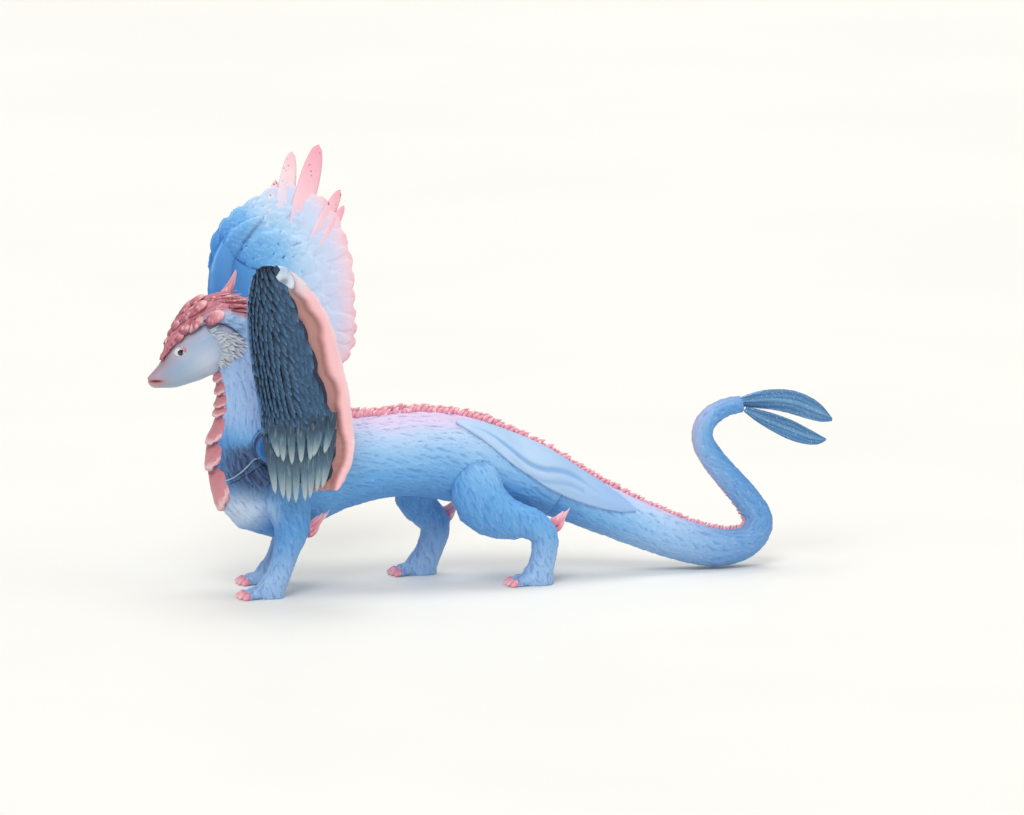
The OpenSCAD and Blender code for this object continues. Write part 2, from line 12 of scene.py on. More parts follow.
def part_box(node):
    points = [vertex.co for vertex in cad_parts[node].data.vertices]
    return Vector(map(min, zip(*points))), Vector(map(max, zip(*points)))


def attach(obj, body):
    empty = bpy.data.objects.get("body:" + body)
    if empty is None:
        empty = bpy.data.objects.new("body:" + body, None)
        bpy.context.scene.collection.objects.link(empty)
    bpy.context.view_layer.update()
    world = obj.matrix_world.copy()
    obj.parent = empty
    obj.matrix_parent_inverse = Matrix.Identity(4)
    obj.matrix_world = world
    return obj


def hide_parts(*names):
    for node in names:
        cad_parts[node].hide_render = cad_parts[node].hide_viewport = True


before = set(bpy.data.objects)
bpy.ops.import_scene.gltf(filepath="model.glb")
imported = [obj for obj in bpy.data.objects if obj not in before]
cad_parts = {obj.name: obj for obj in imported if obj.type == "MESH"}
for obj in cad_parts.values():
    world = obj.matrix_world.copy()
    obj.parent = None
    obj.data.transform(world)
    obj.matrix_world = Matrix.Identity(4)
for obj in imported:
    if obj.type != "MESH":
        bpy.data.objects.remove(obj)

MM = 0.001
BODY, LEFT, RIGHT = "figure", "left_wing", "right_wing"
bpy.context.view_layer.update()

# Centre line of head, neck, back and tail, (x, z) in mm from the nose to the fin
BACKBONE = [
    (-115, 69), (-109, 72), (-101, 79), (-95, 82), (-90, 79), (-86, 72), (-83, 62), (-82, 54),
    (-78, 46), (-70, 42), (-58, 41), (-40, 42), (-20, 42), (0, 37), (20, 28), (40, 19),
    (60, 10), (73, 7), (83, 9), (87, 15), (83, 22), (77, 30), (71, 37), (69, 44), (74, 51), (84, 53),
]


# ---------- meshes as arrays ----------

def dice(seed):
    return np.random.default_rng(seed)


def unit(v):
    return v / np.maximum(np.linalg.norm(v, axis=-1, keepdims=True), 1e-12)


def points_of(mesh):
    co = np.empty(len(mesh.vertices) * 3)
    mesh.vertices.foreach_get("co", co)
    return co.reshape(-1, 3)


def normals_of(mesh):
    no = np.empty(len(mesh.vertices) * 3)
    mesh.vertex_normals.foreach_get("vector", no)
    return no.reshape(-1, 3)


def set_points(mesh, co):
    mesh.vertices.foreach_set("co", co.ravel())
    mesh.update()


def note(mesh, name, values):
    """Keeps one number per vertex, for the materials to read."""
    layer = mesh.attributes.get(name) or mesh.attributes.new(name, "FLOAT", "POINT")
    layer.data.foreach_set("value", np.asarray(values, dtype=np.float32))


def new_piece(name, mesh, material, body, *nodes):
    """Links a mesh as a piece that rides on a body and stands for CAD nodes."""
    piece = bpy.data.objects.new(name, mesh)
    bpy.context.scene.collection.objects.link(piece)
    mesh.materials.clear()
    mesh.materials.append(material)
    mesh.shade_smooth()
    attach(piece, body)
    if nodes:
        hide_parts(*nodes)
    return piece


def repaint(material, *nodes):
    """Gives CAD nodes that keep their own shape a material."""
    for node in nodes:
        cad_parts[node].data.materials.clear()
        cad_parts[node].data.materials.append(material)


def evaluated(obj):
    """The object's mesh with its modifiers applied; the object itself is deleted."""
    bpy.context.view_layer.update()
    graph = bpy.context.evaluated_depsgraph_get()
    mesh = bpy.data.meshes.new_from_object(obj.evaluated_get(graph))
    bpy.data.objects.remove(obj)
    return mesh


def remeshed(nodes, voxel, smoothing=4):
    """One even, smooth mesh over copies of some CAD nodes."""
    parts = [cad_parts[n].data for n in nodes]
    co, faces, start = [], [], 0
    for mesh in parts:
        co.append(points_of(mesh))
        faces += [[start + i for i in p.vertices] for p in mesh.polygons]
        start += len(mesh.vertices)
    mesh = bpy.data.meshes.new(nodes[0])
    mesh.from_pydata(np.concatenate(co).tolist(), [], faces)
    obj = bpy.data.objects.new(nodes[0], mesh)
    bpy.context.scene.collection.objects.link(obj)
    remesh = obj.modifiers.new("remesh", "REMESH")
    remesh.mode = "VOXEL"
    remesh.voxel_size = voxel * MM
    if smoothing:
        smooth = obj.modifiers.new("smooth", "SMOOTH")
        smooth.factor = 0.5
        smooth.iterations = smoothing
    return evaluated(obj)


def mesh_from(co, faces, name):
    mesh = bpy.data.meshes.new(name)
    mesh.from_pydata(np.asarray(co).tolist(), [], [list(map(int, f)) for f in faces])
    mesh.validate()
    return mesh


# ---------- the backbone, which fur and colours follow ----------

def smooth_line(points, steps=14):
    p = np.array(points, float)
    p = np.vstack([2 * p[0] - p[1], p, 2 * p[-1] - p[-2]])
    out = []
    for a, b, c, d in zip(p[:-3], p[1:-2], p[2:-1], p[3:]):
        for t in np.arange(steps) / steps:
            curve = (2 * a - 5 * b + 4 * c - d) * t**2 + (3 * b - a - 3 * c + d) * t**3
            out.append(0.5 * (2 * b + (c - a) * t + curve))
    out.append(p[-2])
    return np.array(out)


line = smooth_line(BACKBONE) * MM
line_step = unit(np.gradient(line, axis=0))
line_length = np.concatenate([[0], np.cumsum(np.linalg.norm(np.diff(line, axis=0), axis=1))])


CHUNK = 20000


def follow(co):
    """Distance along the backbone, and the tailward direction there, for each point."""
    nearest = np.empty(len(co), int)
    for i in range(0, len(co), CHUNK):
        gap = co[i:i + CHUNK, None, [0, 2]] - line[None]
        nearest[i:i + CHUNK] = (gap**2).sum(2).argmin(1)
    ahead = line_step[nearest]
    direction = np.stack([ahead[:, 0], np.zeros(len(co)), ahead[:, 1]], 1)
    return line_length[nearest], direction, line[nearest]


# The keel is the plane that the torso is even about
keel = sum(corner.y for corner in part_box("torso")) / 2


def upward(co):
    """Distance along the backbone, and how far each point is to its upper side, from -1 below to 1 above."""
    at, ahead, centre = follow(co)
    gap = np.stack([co[:, 0] - centre[:, 0], co[:, 1] - keel, co[:, 2] - centre[:, 1]], 1)
    up = np.stack([-ahead[:, 2], np.zeros(len(co)), ahead[:, 0]], 1)
    return at, (unit(gap) * up).sum(1)


# ---------- relief ----------

def spread_seeds(co, spacing, rng, keep=None):
    """Vertices about one spacing apart, in random order."""
    order = rng.permutation(len(co))
    if keep is not None:
        order = order[keep[order]]
    # Each cell of a grid, as wide as the spacing, gets a number, and its first vertex is kept
    cell = np.floor(co[order] / (spacing * MM)).astype(np.int64)
    key = cell[:, 0] * 73856093 ^ cell[:, 1] * 19349663 ^ cell[:, 2] * 83492791
    _, first = np.unique(key, return_index=True)
    return order[np.sort(first)]


def lock_shape(u, v):
    """A pointed tuft that rises toward its tip."""
    half = np.minimum(u * 5, 1) * np.maximum(1 - u, 0) ** 0.45
    across = np.clip(1 - (v / np.maximum(half, 1e-6)) ** 2, 0, 1)
    return (0.25 + 0.75 * u) * np.sqrt(across) * (u < 1)


def feather_shape(u, v):
    """A round-tipped feather with a thin rim, a shaft and an edge that stands up at the tip."""
    half = np.where(u > 0.62, np.sqrt(np.clip(1 - ((u - 0.62) / 0.38) ** 2, 0, 1)), 1.0)
    r = np.abs(v) / np.maximum(half, 1e-6)
    dome = np.clip(1 - r**4, 0, 1) ** 0.5
    shaft = 0.12 * np.exp(-(v / 0.1) ** 2) * (1 - u)
    return ((0.3 + 0.7 * u) * dome * (0.86 + 0.14 * r**2) + shaft) * (r < 1)


def relief(mesh, at, along, length, width, height, shape, sink=0.0, bend=None):
    """Raises overlapping tiles out of a surface. Each tile starts at a point and runs along a direction."""
    co, no = points_of(mesh), normals_of(mesh)
    n = len(at)
    length, width, height = (np.broadcast_to(np.asarray(a, float) * MM, n) for a in (length, width, height))
    bend = np.zeros(n) if bend is None else bend
    tree = KDTree(len(co))
    for i, p in enumerate(co):
        tree.insert(p, i)
    tree.balance()
    lift = np.zeros(len(co))
    for k in range(n):
        _, i0, _ = tree.find(at[k])
        normal = no[i0]
        run = along[k] - normal * (along[k] @ normal)
        run = run / max(np.linalg.norm(run), 1e-9)
        side = np.cross(normal, run)
        reach = math.hypot(length[k], width[k])
        near = np.fromiter((hit[1] for hit in tree.find_range(at[k], reach)), int)
        if len(near) == 0:
            continue
        gap = co[near] - at[k]
        u = gap @ run / length[k]
        v = gap @ side / width[k] - bend[k] * u**2
        inside = (u > 0) & (u < 1) & (np.abs(v) < 1) & (no[near] @ normal > 0.1)
        near, u, v = near[inside], u[inside], v[inside]
        lift[near] = np.maximum(lift[near], height[k] * shape(u, v))
    top = max(height.max(), 1e-9)
    note(mesh, "relief", lift / top)
    set_points(mesh, co + no * (lift - sink * MM)[:, None])
    return lift / top


def fur(mesh, seed, spacing=1.25, length=5.2, width=0.52, height=0.36, droop=0.3, turn=None):
    """Combs sculpted tufts over a skin, running to the tail and a little down."""
    rng = dice(seed)
    co, no = points_of(mesh), normals_of(mesh)
    seeds = spread_seeds(co, spacing, rng)
    if turn is None:
        run = follow(co[seeds])[1]
    else:
        run = np.tile(np.asarray(turn, float), (len(seeds), 1))
    run = run + np.array([0, 0, -droop])
    side = unit(np.cross(no[seeds], run))
    run = run + side * rng.normal(0, 0.22, (len(seeds), 1))
    scale = rng.uniform(0.7, 1.25, len(seeds))
    return relief(
        mesh, co[seeds], run, length * scale, width * rng.uniform(0.8, 1.3, len(seeds)),
        height * rng.uniform(0.6, 1.1, len(seeds)), lock_shape, sink=0.35 * height,
        bend=rng.normal(0, 0.7, len(seeds)),
    )


# ---------- materials ----------

class Paint:
    """A material built from nodes on one Principled shader."""

    def __init__(self, name, **constants):
        self.material = bpy.data.materials.new(name)
        self.material.use_nodes = True
        self.tree = self.material.node_tree
        self.shader = self.tree.nodes["Principled BSDF"]
        for socket, value in constants.items():
            self.shader.inputs[socket.replace("_", " ").title().replace("Ior", "IOR")].default_value = value

    def node(self, kind, inputs=(), **settings):
        made = self.tree.nodes.new("ShaderNode" + kind)
        for key, value in settings.items():
            setattr(made, key, value)
        for key, value in dict(inputs).items():
            if isinstance(value, bpy.types.NodeSocket):
                self.tree.links.new(value, made.inputs[key])
            else:
                made.inputs[key].default_value = value
        return made

    def attribute(self, name):
        return self.node("Attribute", attribute_name=name).outputs["Fac"]

    def place(self):
        return self.node("TexCoord").outputs["Object"]

    def axis(self, letter):
        return self.node("SeparateXYZ", {0: self.place()}).outputs[letter]

    def noise(self, scale, detail=3.0, stretch=(1, 1, 1)):
        mapping = self.node("Mapping", {"Vector": self.place(), "Scale": stretch})
        inputs = {"Vector": mapping.outputs[0], "Scale": scale, "Detail": detail}
        return self.node("TexNoise", inputs).outputs["Fac"]

    def span(self, value, low, high):
        """Value mapped so that low gives 0 and high gives 1, smoothly."""
        return self.node(
            "MapRange", {"Value": value, "From Min": low, "From Max": high}, interpolation_type="SMOOTHSTEP"
        ).outputs[0]

    def math(self, kind, *values):
        return self.node("Math", dict(enumerate(values)), operation=kind).outputs[0]

    def sum(self, a, b):
        return self.math("ADD", a, b)

    def minus(self, a, b):
        return self.math("SUBTRACT", a, b)

    def times(self, a, b):
        return self.math("MULTIPLY", a, b)

    def from_axis(self, centre):
        """Distance, across and along X, from a line along Y through a centre."""
        across = self.minus(self.axis("X"), centre.x)
        height = self.minus(self.axis("Z"), centre.z)
        squared = self.sum(self.times(across, across), self.times(height, height))
        return self.math("POWER", squared, 0.5), across

    def scaled(self, value, low, high):
        """A value from 0 to 1 spread evenly over low to high."""
        return self.node("MapRange", {"Value": value, "To Min": low, "To Max": high}).outputs[0]

    def mix(self, share, a, b, kind="MIX"):
        made = self.node("Mix", {"Factor": share}, data_type="RGBA", blend_type=kind)
        for socket, value in ((made.inputs[6], a), (made.inputs[7], b)):
            if isinstance(value, bpy.types.NodeSocket):
                self.tree.links.new(value, socket)
            else:
                socket.default_value = (*value, 1)
        return made.outputs[2]

    def ramp(self, value, *stops):
        made = self.node("ValToRGB", {"Fac": value})
        marks = made.color_ramp.elements
        while len(marks) < len(stops):
            marks.new(0.5)
        for mark, (at, colour) in zip(marks, stops):
            mark.position = at
            mark.color = (*colour, 1)
        return made.outputs["Color"]

    def finish(self, colour, roughness=None, bump=(), metallic=None):
        self.tree.links.new(colour, self.shader.inputs["Base Color"])
        if roughness is not None:
            self.tree.links.new(roughness, self.shader.inputs["Roughness"])
        if metallic is not None:
            self.tree.links.new(metallic, self.shader.inputs["Metallic"])
        normal = None
        for height, distance in bump:
            made = self.node("Bump", {"Height": height, "Distance": distance * MM, "Strength": 1.0})
            if normal is not None:
                self.tree.links.new(normal, made.inputs["Normal"])
            normal = made.outputs[0]
        if normal is not None:
            self.tree.links.new(normal, self.shader.inputs["Normal"])
        return self.material


def rgb(r, g, b):
    """A colour given as it looks on a screen, from 0 to 255, as the linear value that a shader takes."""
    shown = (r / 255, g / 255, b / 255)
    return tuple(c / 12.92 if c <= 0.04045 else ((c + 0.055) / 1.055) ** 2.4 for c in shown)


def speckle(paint, scale=900):
    """Fine grain of moulded and sprayed plastic."""
    return paint.noise(scale, 4.0)


def fur_grooves(p, colour, deep, pale):
    """Darker between the tufts, painted shade over paint settled in the grooves, and paler on their tips, a
    painted highlight over a dry brush.
    """
    grooves = p.span(p.attribute("relief"), 0.0, 0.5)
    colour = p.mix(grooves, p.mix(0.42, colour, deep), colour)
    tips = p.span(p.attribute("relief"), 0.55, 1.0)
    return p.mix(p.times(tips, 0.3), colour, pale)


def crown_paint():
    """Pale blue-grey fur below, turning to dusty pink on top."""
    p = Paint("crown_paint", specular_ior_level=0.35)
    cloud = p.noise(150, 3.0)
    blue = p.ramp(cloud, (0.3, rgb(128, 166, 208)), (0.7, rgb(176, 204, 230)))
    blue = fur_grooves(p, blue, rgb(60, 96, 150), rgb(226, 238, 248))
    pink = p.ramp(cloud, (0.3, rgb(176, 98, 114)), (0.7, rgb(206, 132, 144)))
    pink = fur_grooves(p, pink, rgb(120, 62, 82), rgb(240, 190, 196))
    grain = speckle(p)
    rough = p.scaled(grain, 0.42, 0.6)
    return p.finish(p.mix(p.attribute("pink"), blue, pink), rough, [(grain, 0.03)])


def skin_paint():
    """Airbrushed blue fur: lilac at the back, bright blue on the flanks, pale on the feet and breast."""
    p = Paint("skin_paint", specular_ior_level=0.35)
    x, z = p.axis("X"), p.axis("Z")
    cloud = p.noise(55, 3.0)
    back = p.attribute("back")
    tint = p.sum(back, p.times(p.minus(cloud, 0.5), 0.28))
    colour = p.ramp(
        tint, (0.0, rgb(78, 142, 204)), (0.3, rgb(104, 168, 224)), (0.58, rgb(146, 194, 236)),
        (0.8, rgb(180, 206, 238)), (0.97, rgb(214, 196, 226)),
    )
    low = p.span(z, 0.004, 0.022)
    colour = p.mix(low, p.mix(0.5, colour, rgb(188, 212, 240)), colour)
    tail = p.span(x, 0.045, 0.085)
    colour = p.mix(p.times(tail, 0.75), colour, rgb(82, 140, 200))
    colour = p.mix(p.attribute("throat"), colour, rgb(172, 198, 236))
    colour = p.mix(p.attribute("breast"), colour, rgb(206, 220, 236))
    colour = fur_grooves(p, colour, rgb(64, 118, 190), rgb(218, 230, 250))
    # Dark navy on the chest below the collar, darkest in the grooves: dark strokes with painted shadow under
    # the folded wing
    dark = p.mix(p.span(p.attribute("relief"), 0.1, 0.9), rgb(30, 46, 80), rgb(78, 104, 148))
    colour = p.mix(p.attribute("shade"), colour, dark)
    grain = speckle(p)
    rough = p.scaled(grain, 0.42, 0.6)
    return p.finish(colour, rough, [(grain, 0.03)])


skin = skin_paint()


def body_shades(mesh):
    """Notes how near each point is to the back, and how much dark navy it takes on the chest, as dark strokes
    with painted shadow under the folded wing.
    """
    co = points_of(mesh)
    note(mesh, "back", 0.5 + 0.5 * upward(co)[1])
    # Dark navy on the chest below the collar: dark strokes with painted shadow under the folded wing
    chest = np.hypot(co[:, 0] / MM + 84, (co[:, 2] / MM - 42) * 1.1)
    below = np.clip((51 - co[:, 2] / MM) / 4, 0, 1)
    aside = np.clip((np.abs(co[:, 1] - keel) / MM - 3) / 3, 0, 1)
    note(mesh, "shade", np.clip(1.7 - chest / 8.5, 0, 0.95) * below * aside)
    note(mesh, "throat", 0.75 * np.clip((co[:, 2] / MM - 50) / 8, 0, 1) * (co[:, 0] / MM < -70))
    breast = np.hypot(co[:, 0] / MM + 87, (co[:, 2] / MM - 27) * 1.2)
    note(mesh, "breast", 0.8 * np.clip(1.3 - breast / 9, 0, 1))


def furred(node, voxel, seed, name, material=skin, **comb):
    mesh = remeshed([node], voxel)
    body_shades(mesh)
    fur(mesh, seed, **comb)
    return new_piece(name, mesh, material, BODY, node)


furred("torso", 0.36, 1, "torso_skin")
furred("neck", 0.33, 2, "neck_skin", droop=0.1)
furred("tail", 0.34, 3, "tail_skin", length=4.0, width=0.7, height=0.42)
for corner, seed in (("front_left", 4), ("front_right", 5), ("rear_left", 6), ("rear_right", 7)):
    furred(
        corner + "_leg", 0.3, seed, corner + "_leg_skin", turn=(0.35, 0, -1), droop=0, length=3.6, width=0.6,
    )


# ---------- strands and blades ----------

class Strands:
    """Tapering strands and blades in one mesh, each point noted with its share of the length and a tone."""

    def __init__(self, sides=8):
        self.turn = np.linspace(0, 2 * np.pi, sides, endpoint=False)
        self.co, self.faces, self.along, self.tone, self.count = [], [], [], [], 0

    def add(self, path, out, half_width, half_height, tone=0.5, belly=0.4):
        """Path in metres; out is the way its upper face looks; the two sizes are in mm, one per point."""
        path = np.asarray(path, float)
        n, m = len(path), len(self.turn)
        ahead = unit(np.gradient(path, axis=0))
        side = unit(np.cross(np.asarray(out, float), ahead))
        up = np.cross(ahead, side)
        rise = np.sin(self.turn)
        rise = np.where(rise < 0, belly * rise, rise)
        wide = np.broadcast_to(half_width, n)[:, None, None] * np.cos(self.turn)[None, :, None] * MM
        high = np.broadcast_to(half_height, n)[:, None, None] * rise[None, :, None] * MM
        self.co.append((path[:, None] + wide * side[:, None] + high * up[:, None]).reshape(-1, 3))
        for i in range(n - 1):
            a, b = self.count + i * m, self.count + (i + 1) * m
            self.faces += [(a + j, a + (j + 1) % m, b + (j + 1) % m, b + j) for j in range(m)]
        self.faces.append(tuple(self.count + j for j in reversed(range(m))))
        self.faces.append(tuple(self.count + (n - 1) * m + j for j in range(m)))
        self.along.append(np.repeat(np.linspace(0, 1, n), m))
        self.tone.append(np.full(n * m, tone))
        self.count += n * m

    def piece(self, name, material, body, *nodes):
        mesh = mesh_from(np.concatenate(self.co), self.faces, name)
        note(mesh, "along", np.concatenate(self.along))
        note(mesh, "tone", np.concatenate(self.tone))
        return new_piece(name, mesh, material, body, *nodes)


def curl(base, run, out, length, lift, droop=0.0, sway=0.0, steps=7):
    """A path that leaves a surface along run, rises by lift and droops again; sizes in mm."""
    u = np.linspace(0, 1, steps)[:, None]
    side = unit(np.cross(out, run))
    return base + MM * (run * length * u + out * (lift * u - droop * u**2) + side * sway * u**2)


def taper(length_share, root=0.6, blunt=0.6):
    """Share of the full width along a strand: narrower at the root, full in the middle, pointed last."""
    u = np.linspace(0, 1, length_share)
    return (root + (1 - root) * np.minimum(u * 3, 1)) * np.maximum(1 - u, 0.0) ** blunt + 0.04


def oval(steps, tip=0.12):
    """Share of the full width along a round-tipped blade."""
    u = np.linspace(0, 1, steps)
    rounded = np.sqrt(np.clip(1 - np.clip((u - 0.55) / 0.45, 0, 1) ** 2, 0, 1))
    return np.minimum(0.55 + 1.4 * u, 1) * rounded + tip * (1 - u)


# ---------- places on the model ----------

def tree_of(*nodes):
    """Search tree over the faces of some CAD nodes."""
    co, faces, start = [], [], 0
    for n in nodes:
        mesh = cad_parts[n].data
        co += [v.co.copy() for v in mesh.vertices]
        faces += [[start + i for i in p.vertices] for p in mesh.polygons]
        start += len(mesh.vertices)
    return BVHTree.FromPolygons(co, faces)


def tree_over(mesh):
    """Search tree over a mesh that has no faces inside it."""
    return BVHTree.FromPolygons([v.co for v in mesh.vertices], [p.vertices for p in mesh.polygons])


BODY_NODES = [
    "torso", "neck", "head", "tail", "neck_pin", "head_pin", "tail_pin", "left_collar", "right_collar",
]
body_mesh = remeshed(BODY_NODES, 0.7, 1)
trunk = tree_over(body_mesh)
crown = tree_of("head_crest", "head", "neck")
body_co = points_of(body_mesh)
body_at = follow(body_co)[0]


def around(at, angle, tree=trunk, outward=True):
    """Point, outward direction and tailward direction at a distance along the backbone and an angle from
    the belly, 180 on the back."""
    i = int(np.clip(np.searchsorted(line_length, at), 0, len(line) - 1))
    middle = body_co[np.abs(body_at - at) < 2.5 * MM, 1]
    centre = np.array([line[i, 0], (middle.min() + middle.max()) / 2, line[i, 1]])
    ahead = np.array([line_step[i, 0], 0, line_step[i, 1]])
    up = np.array([-ahead[2], 0, ahead[0]])
    turn = math.radians(angle)
    out = -up * math.cos(turn) + np.array([0, 1, 0]) * math.sin(turn)
    if outward:
        hit = tree.ray_cast(Vector(centre), Vector(out), 0.04)[0]
    else:
        hit = tree.ray_cast(Vector(centre + out * 0.03), Vector(-out), 0.03)[0]
    return (np.array(hit) if hit else centre + out * 5 * MM), out, ahead


def where(x, z):
    """Distance along the backbone of the place nearest to x, z in mm."""
    return line_length[((line - np.array([x, z]) * MM) ** 2).sum(1).argmin()]


# ---------- ridges, scutes, crest and ruff ----------

def pink_paint(name, root, middle, tip, roughness=0.5, groove=1.0):
    """Paint that runs from root to tip along each strand, with fine lengthwise streaks."""
    p = Paint(name, roughness=roughness, specular_ior_level=0.4)
    along, tone = p.attribute("along"), p.attribute("tone")
    colour = p.ramp(along, (0.0, rgb(*root)), (0.5, rgb(*middle)), (1.0, rgb(*tip)))
    colour = p.mix(p.times(tone, 0.5), colour, p.mix(1.0, colour, rgb(238, 214, 216), "MULTIPLY"))
    streak = p.noise(900, 3.0, (1, 1, 0.25))
    colour = p.mix(p.span(streak, 0.5, 0.75), colour, rgb(*tip))
    return p.finish(colour, None, [(streak, 0.08 * groove)])


def ridge(name, start, stop, spacing, length, material, seed, *nodes):
    """Double row of small curved spines along the back, leaning to the tail."""
    rng = dice(seed)
    strands = Strands(6)
    count = int((stop - start) / (spacing * MM))
    for k in range(count):
        share = k / max(count - 1, 1)
        size = length[0] + (length[1] - length[0]) * share
        for row in (-1, 1):
            at = start + (k + 0.5 * (row > 0) + rng.uniform(-0.2, 0.2)) * spacing * MM
            base, out, ahead = around(at, 180 + row * rng.uniform(6, 11))
            run = unit(ahead * 0.6 + out * 0.85 + np.array([0, 0.25 * row, 0]))
            long = size * rng.uniform(0.8, 1.2)
            path = curl(base - out * 0.5 * MM, run, out, long, 0.0, size * 0.28, steps=6)
            width = 0.34 * size * taper(6, 0.8, 0.7)
            strands.add(path, ahead + out, width * 0.8, width, rng.random())
    return strands.piece(name, material, BODY, *nodes)


spine_paint = pink_paint("spine_paint", (214, 150, 178), (236, 160, 176), (250, 214, 216))
ridge("tail_spines", where(20, 28), where(77, 30), 1.5, (3.8, 1.6), spine_paint, 21, "tail_ridge")
ridge("back_spines", where(-62, 41), where(20, 28), 1.5, (4.8, 4.0), spine_paint, 22, "back_ridge")
ridge("nape_spines", where(-89, 78), where(-82, 57), 1.5, (3.0, 2.6), spine_paint, 23, "nape_ridge")


def shell(at, angle, length, half_width, lift, rng, strands, tree=trunk, tone=0.5, outward=True, dome=0.5):
    """One rounded scale that lies on the skin and stands off it at its tail end."""
    base, out, ahead = around(at, angle, tree, outward)
    path = curl(base - out * 0.25 * MM, ahead, out, length, lift, lift * 0.35, rng.uniform(-0.3, 0.3), 9)
    strands.add(path, out, half_width * oval(9), dome * oval(9), tone)


def throat():
    """Broad overlapping plates down the front of the neck, each bent around it, with a thick pale lip."""
    paint = Paint("scute_paint", roughness=0.48, specular_ior_level=0.4)
    along = paint.attribute("along")
    grain = paint.noise(260, 4.0, (1, 1, 2.5))
    colour = paint.ramp(
        along, (0.0, rgb(150, 88, 104)), (0.3, rgb(196, 122, 134)), (0.78, rgb(212, 142, 150)),
        (0.9, rgb(244, 204, 208)), (1.0, rgb(236, 184, 192)),
    )
    colour = paint.mix(paint.times(grain, 0.25), colour, rgb(176, 108, 124))
    material = paint.finish(colour, None, [(grain, 0.12)])
    top, bottom, count = where(-88, 75.5), where(-77, 46), 7
    rows, cols = 10, 21
    co, faces, along_share = [], [], []
    bounds = np.linspace(top, bottom, count + 1)
    for k in range(count):
        start = len(co)
        wide = 33 - 8 * (k / (count - 1)) ** 2
        for i in range(rows + 1):
            u = i / rows
            for j in range(cols):
                v = 2 * j / (cols - 1) - 1
                at = bounds[k] + (bounds[k + 1] - bounds[k]) * (1.16 * u * (1 - 0.3 * v**2) - 0.04)
                point, out, _ = around(at, wide * v * (0.86 + 0.14 * math.sin(math.pi * u)))
                lip = 0.35 * math.exp(-((u - 0.93) / 0.06) ** 2)
                edge = max(1 - abs(v) ** 6, 0)
                co.append(point + out * MM * ((0.25 + 1.35 * u + lip) * edge - 0.3))
                along_share.append(u)
        for v in range(cols):
            point, out, _ = around(bounds[k + 1], wide * (2 * v / (cols - 1) - 1))
            co.append(co[start + rows * cols + v] * 0.35 + (point - out * 0.6 * MM) * 0.65)
            along_share.append(0.0)
        for i in range(rows + 1):
            for j in range(cols - 1):
                a = start + i * cols + j
                faces.append((a, a + 1, a + cols + 1, a + cols))
    mesh = mesh_from(co, faces, "throat_plates")
    note(mesh, "along", along_share)
    new_piece("throat_plates", mesh, material, BODY, "throat_scutes")


throat()


def crest():
    """Shells over the brow, strands swept back from them over the crown, and a hooked spike."""
    rng = dice(31)
    base = remeshed(["head_crest"], 0.28, 6)
    body_shades(base)
    co = points_of(base)
    set_points(base, co - normals_of(base) * 0.35 * MM)
    at, share = upward(co)
    from_back = np.degrees(np.arccos(np.clip(share, -1, 1)))
    half = np.interp(at, [where(-107, 74), where(-99, 79), where(-88, 76)], [34, 42, 24])
    note(base, "pink", np.clip((half + 6 - from_back) / 9, 0, 1))
    fur(base, 32, spacing=1.3, length=5.0, width=0.6, height=0.5, droop=-0.2)
    new_piece("crown_fur", base, crown_paint(), BODY, "head_crest")
    paint = pink_paint("crest_paint", (138, 78, 96), (198, 118, 130), (240, 196, 200), 0.46)
    scales = Strands(10)
    rows = 6
    for r in range(rows):
        share = r / (rows - 1)
        at = where(-105.5, 75.5) + (where(-97, 81) - where(-105.5, 75.5)) * share
        count = 3 + r // 2
        size = 2.8 + 2.4 * share
        for k in range(count):
            angle = 180 + (26 + 18 * share) * ((2 * k / (count - 1)) - 1) + rng.uniform(-4, 4)
            shell(
                at + rng.uniform(-0.6, 0.6) * MM, angle, size * rng.uniform(1.0, 1.4), size * 0.42,
                0.8 + 0.7 * share, rng, scales, crown, rng.random(), False, 0.6,
            )
    scales.piece("crest_shells", paint, BODY)
    hair = Strands(7)
    start, stop = where(-101, 79), where(-89.5, 77)
    for k in range(210):
        share = rng.random()
        angle = 180 + (46 - 24 * share) * (2 * rng.random() - 1)
        base, out, ahead = around(start + (stop - start) * share, angle, crown, False)
        run = unit(ahead * 0.8 + out * 0.1 + np.array([0.9, 0, rng.uniform(-0.1, 0.25)]))
        path = curl(base - out * 0.4 * MM, run, out, rng.uniform(5, 10), 0.5, 1.0, rng.uniform(-1.4, 1.4), 9)
        width = rng.uniform(0.32, 0.62)
        hair.add(path, out, width * taper(9), 0.8 * width * taper(9), rng.random(), 0.8)
    hair.piece("crest_hair", paint, BODY)
    spike = Strands(7)
    tip = np.array([-86.2, 0, 103.2]) * MM + [0, keel, 0]
    u = np.linspace(0, 1, 9)[:, None]
    for k in range(14):
        turn = 2 * math.pi * k / 14
        root = np.array([-95.4 + 2.8 * math.cos(turn), 1.9 * math.sin(turn), 91.6]) * MM + [0, keel, 0]
        bend = (root + tip) / 2 + np.array([2.0, 0, -2.6]) * MM
        end = tip + rng.uniform(-0.5, 0.1, 3) * [1, 0.5, 2] * MM
        path = root * (1 - u) ** 2 + 2 * bend * u * (1 - u) + end * u**2
        spike.add(path, (0, 0, 1), 0.8 * taper(9), 0.7 * taper(9), rng.random(), 1)
    spike.piece("crest_hook", paint, BODY, "crest_spike")


crest()


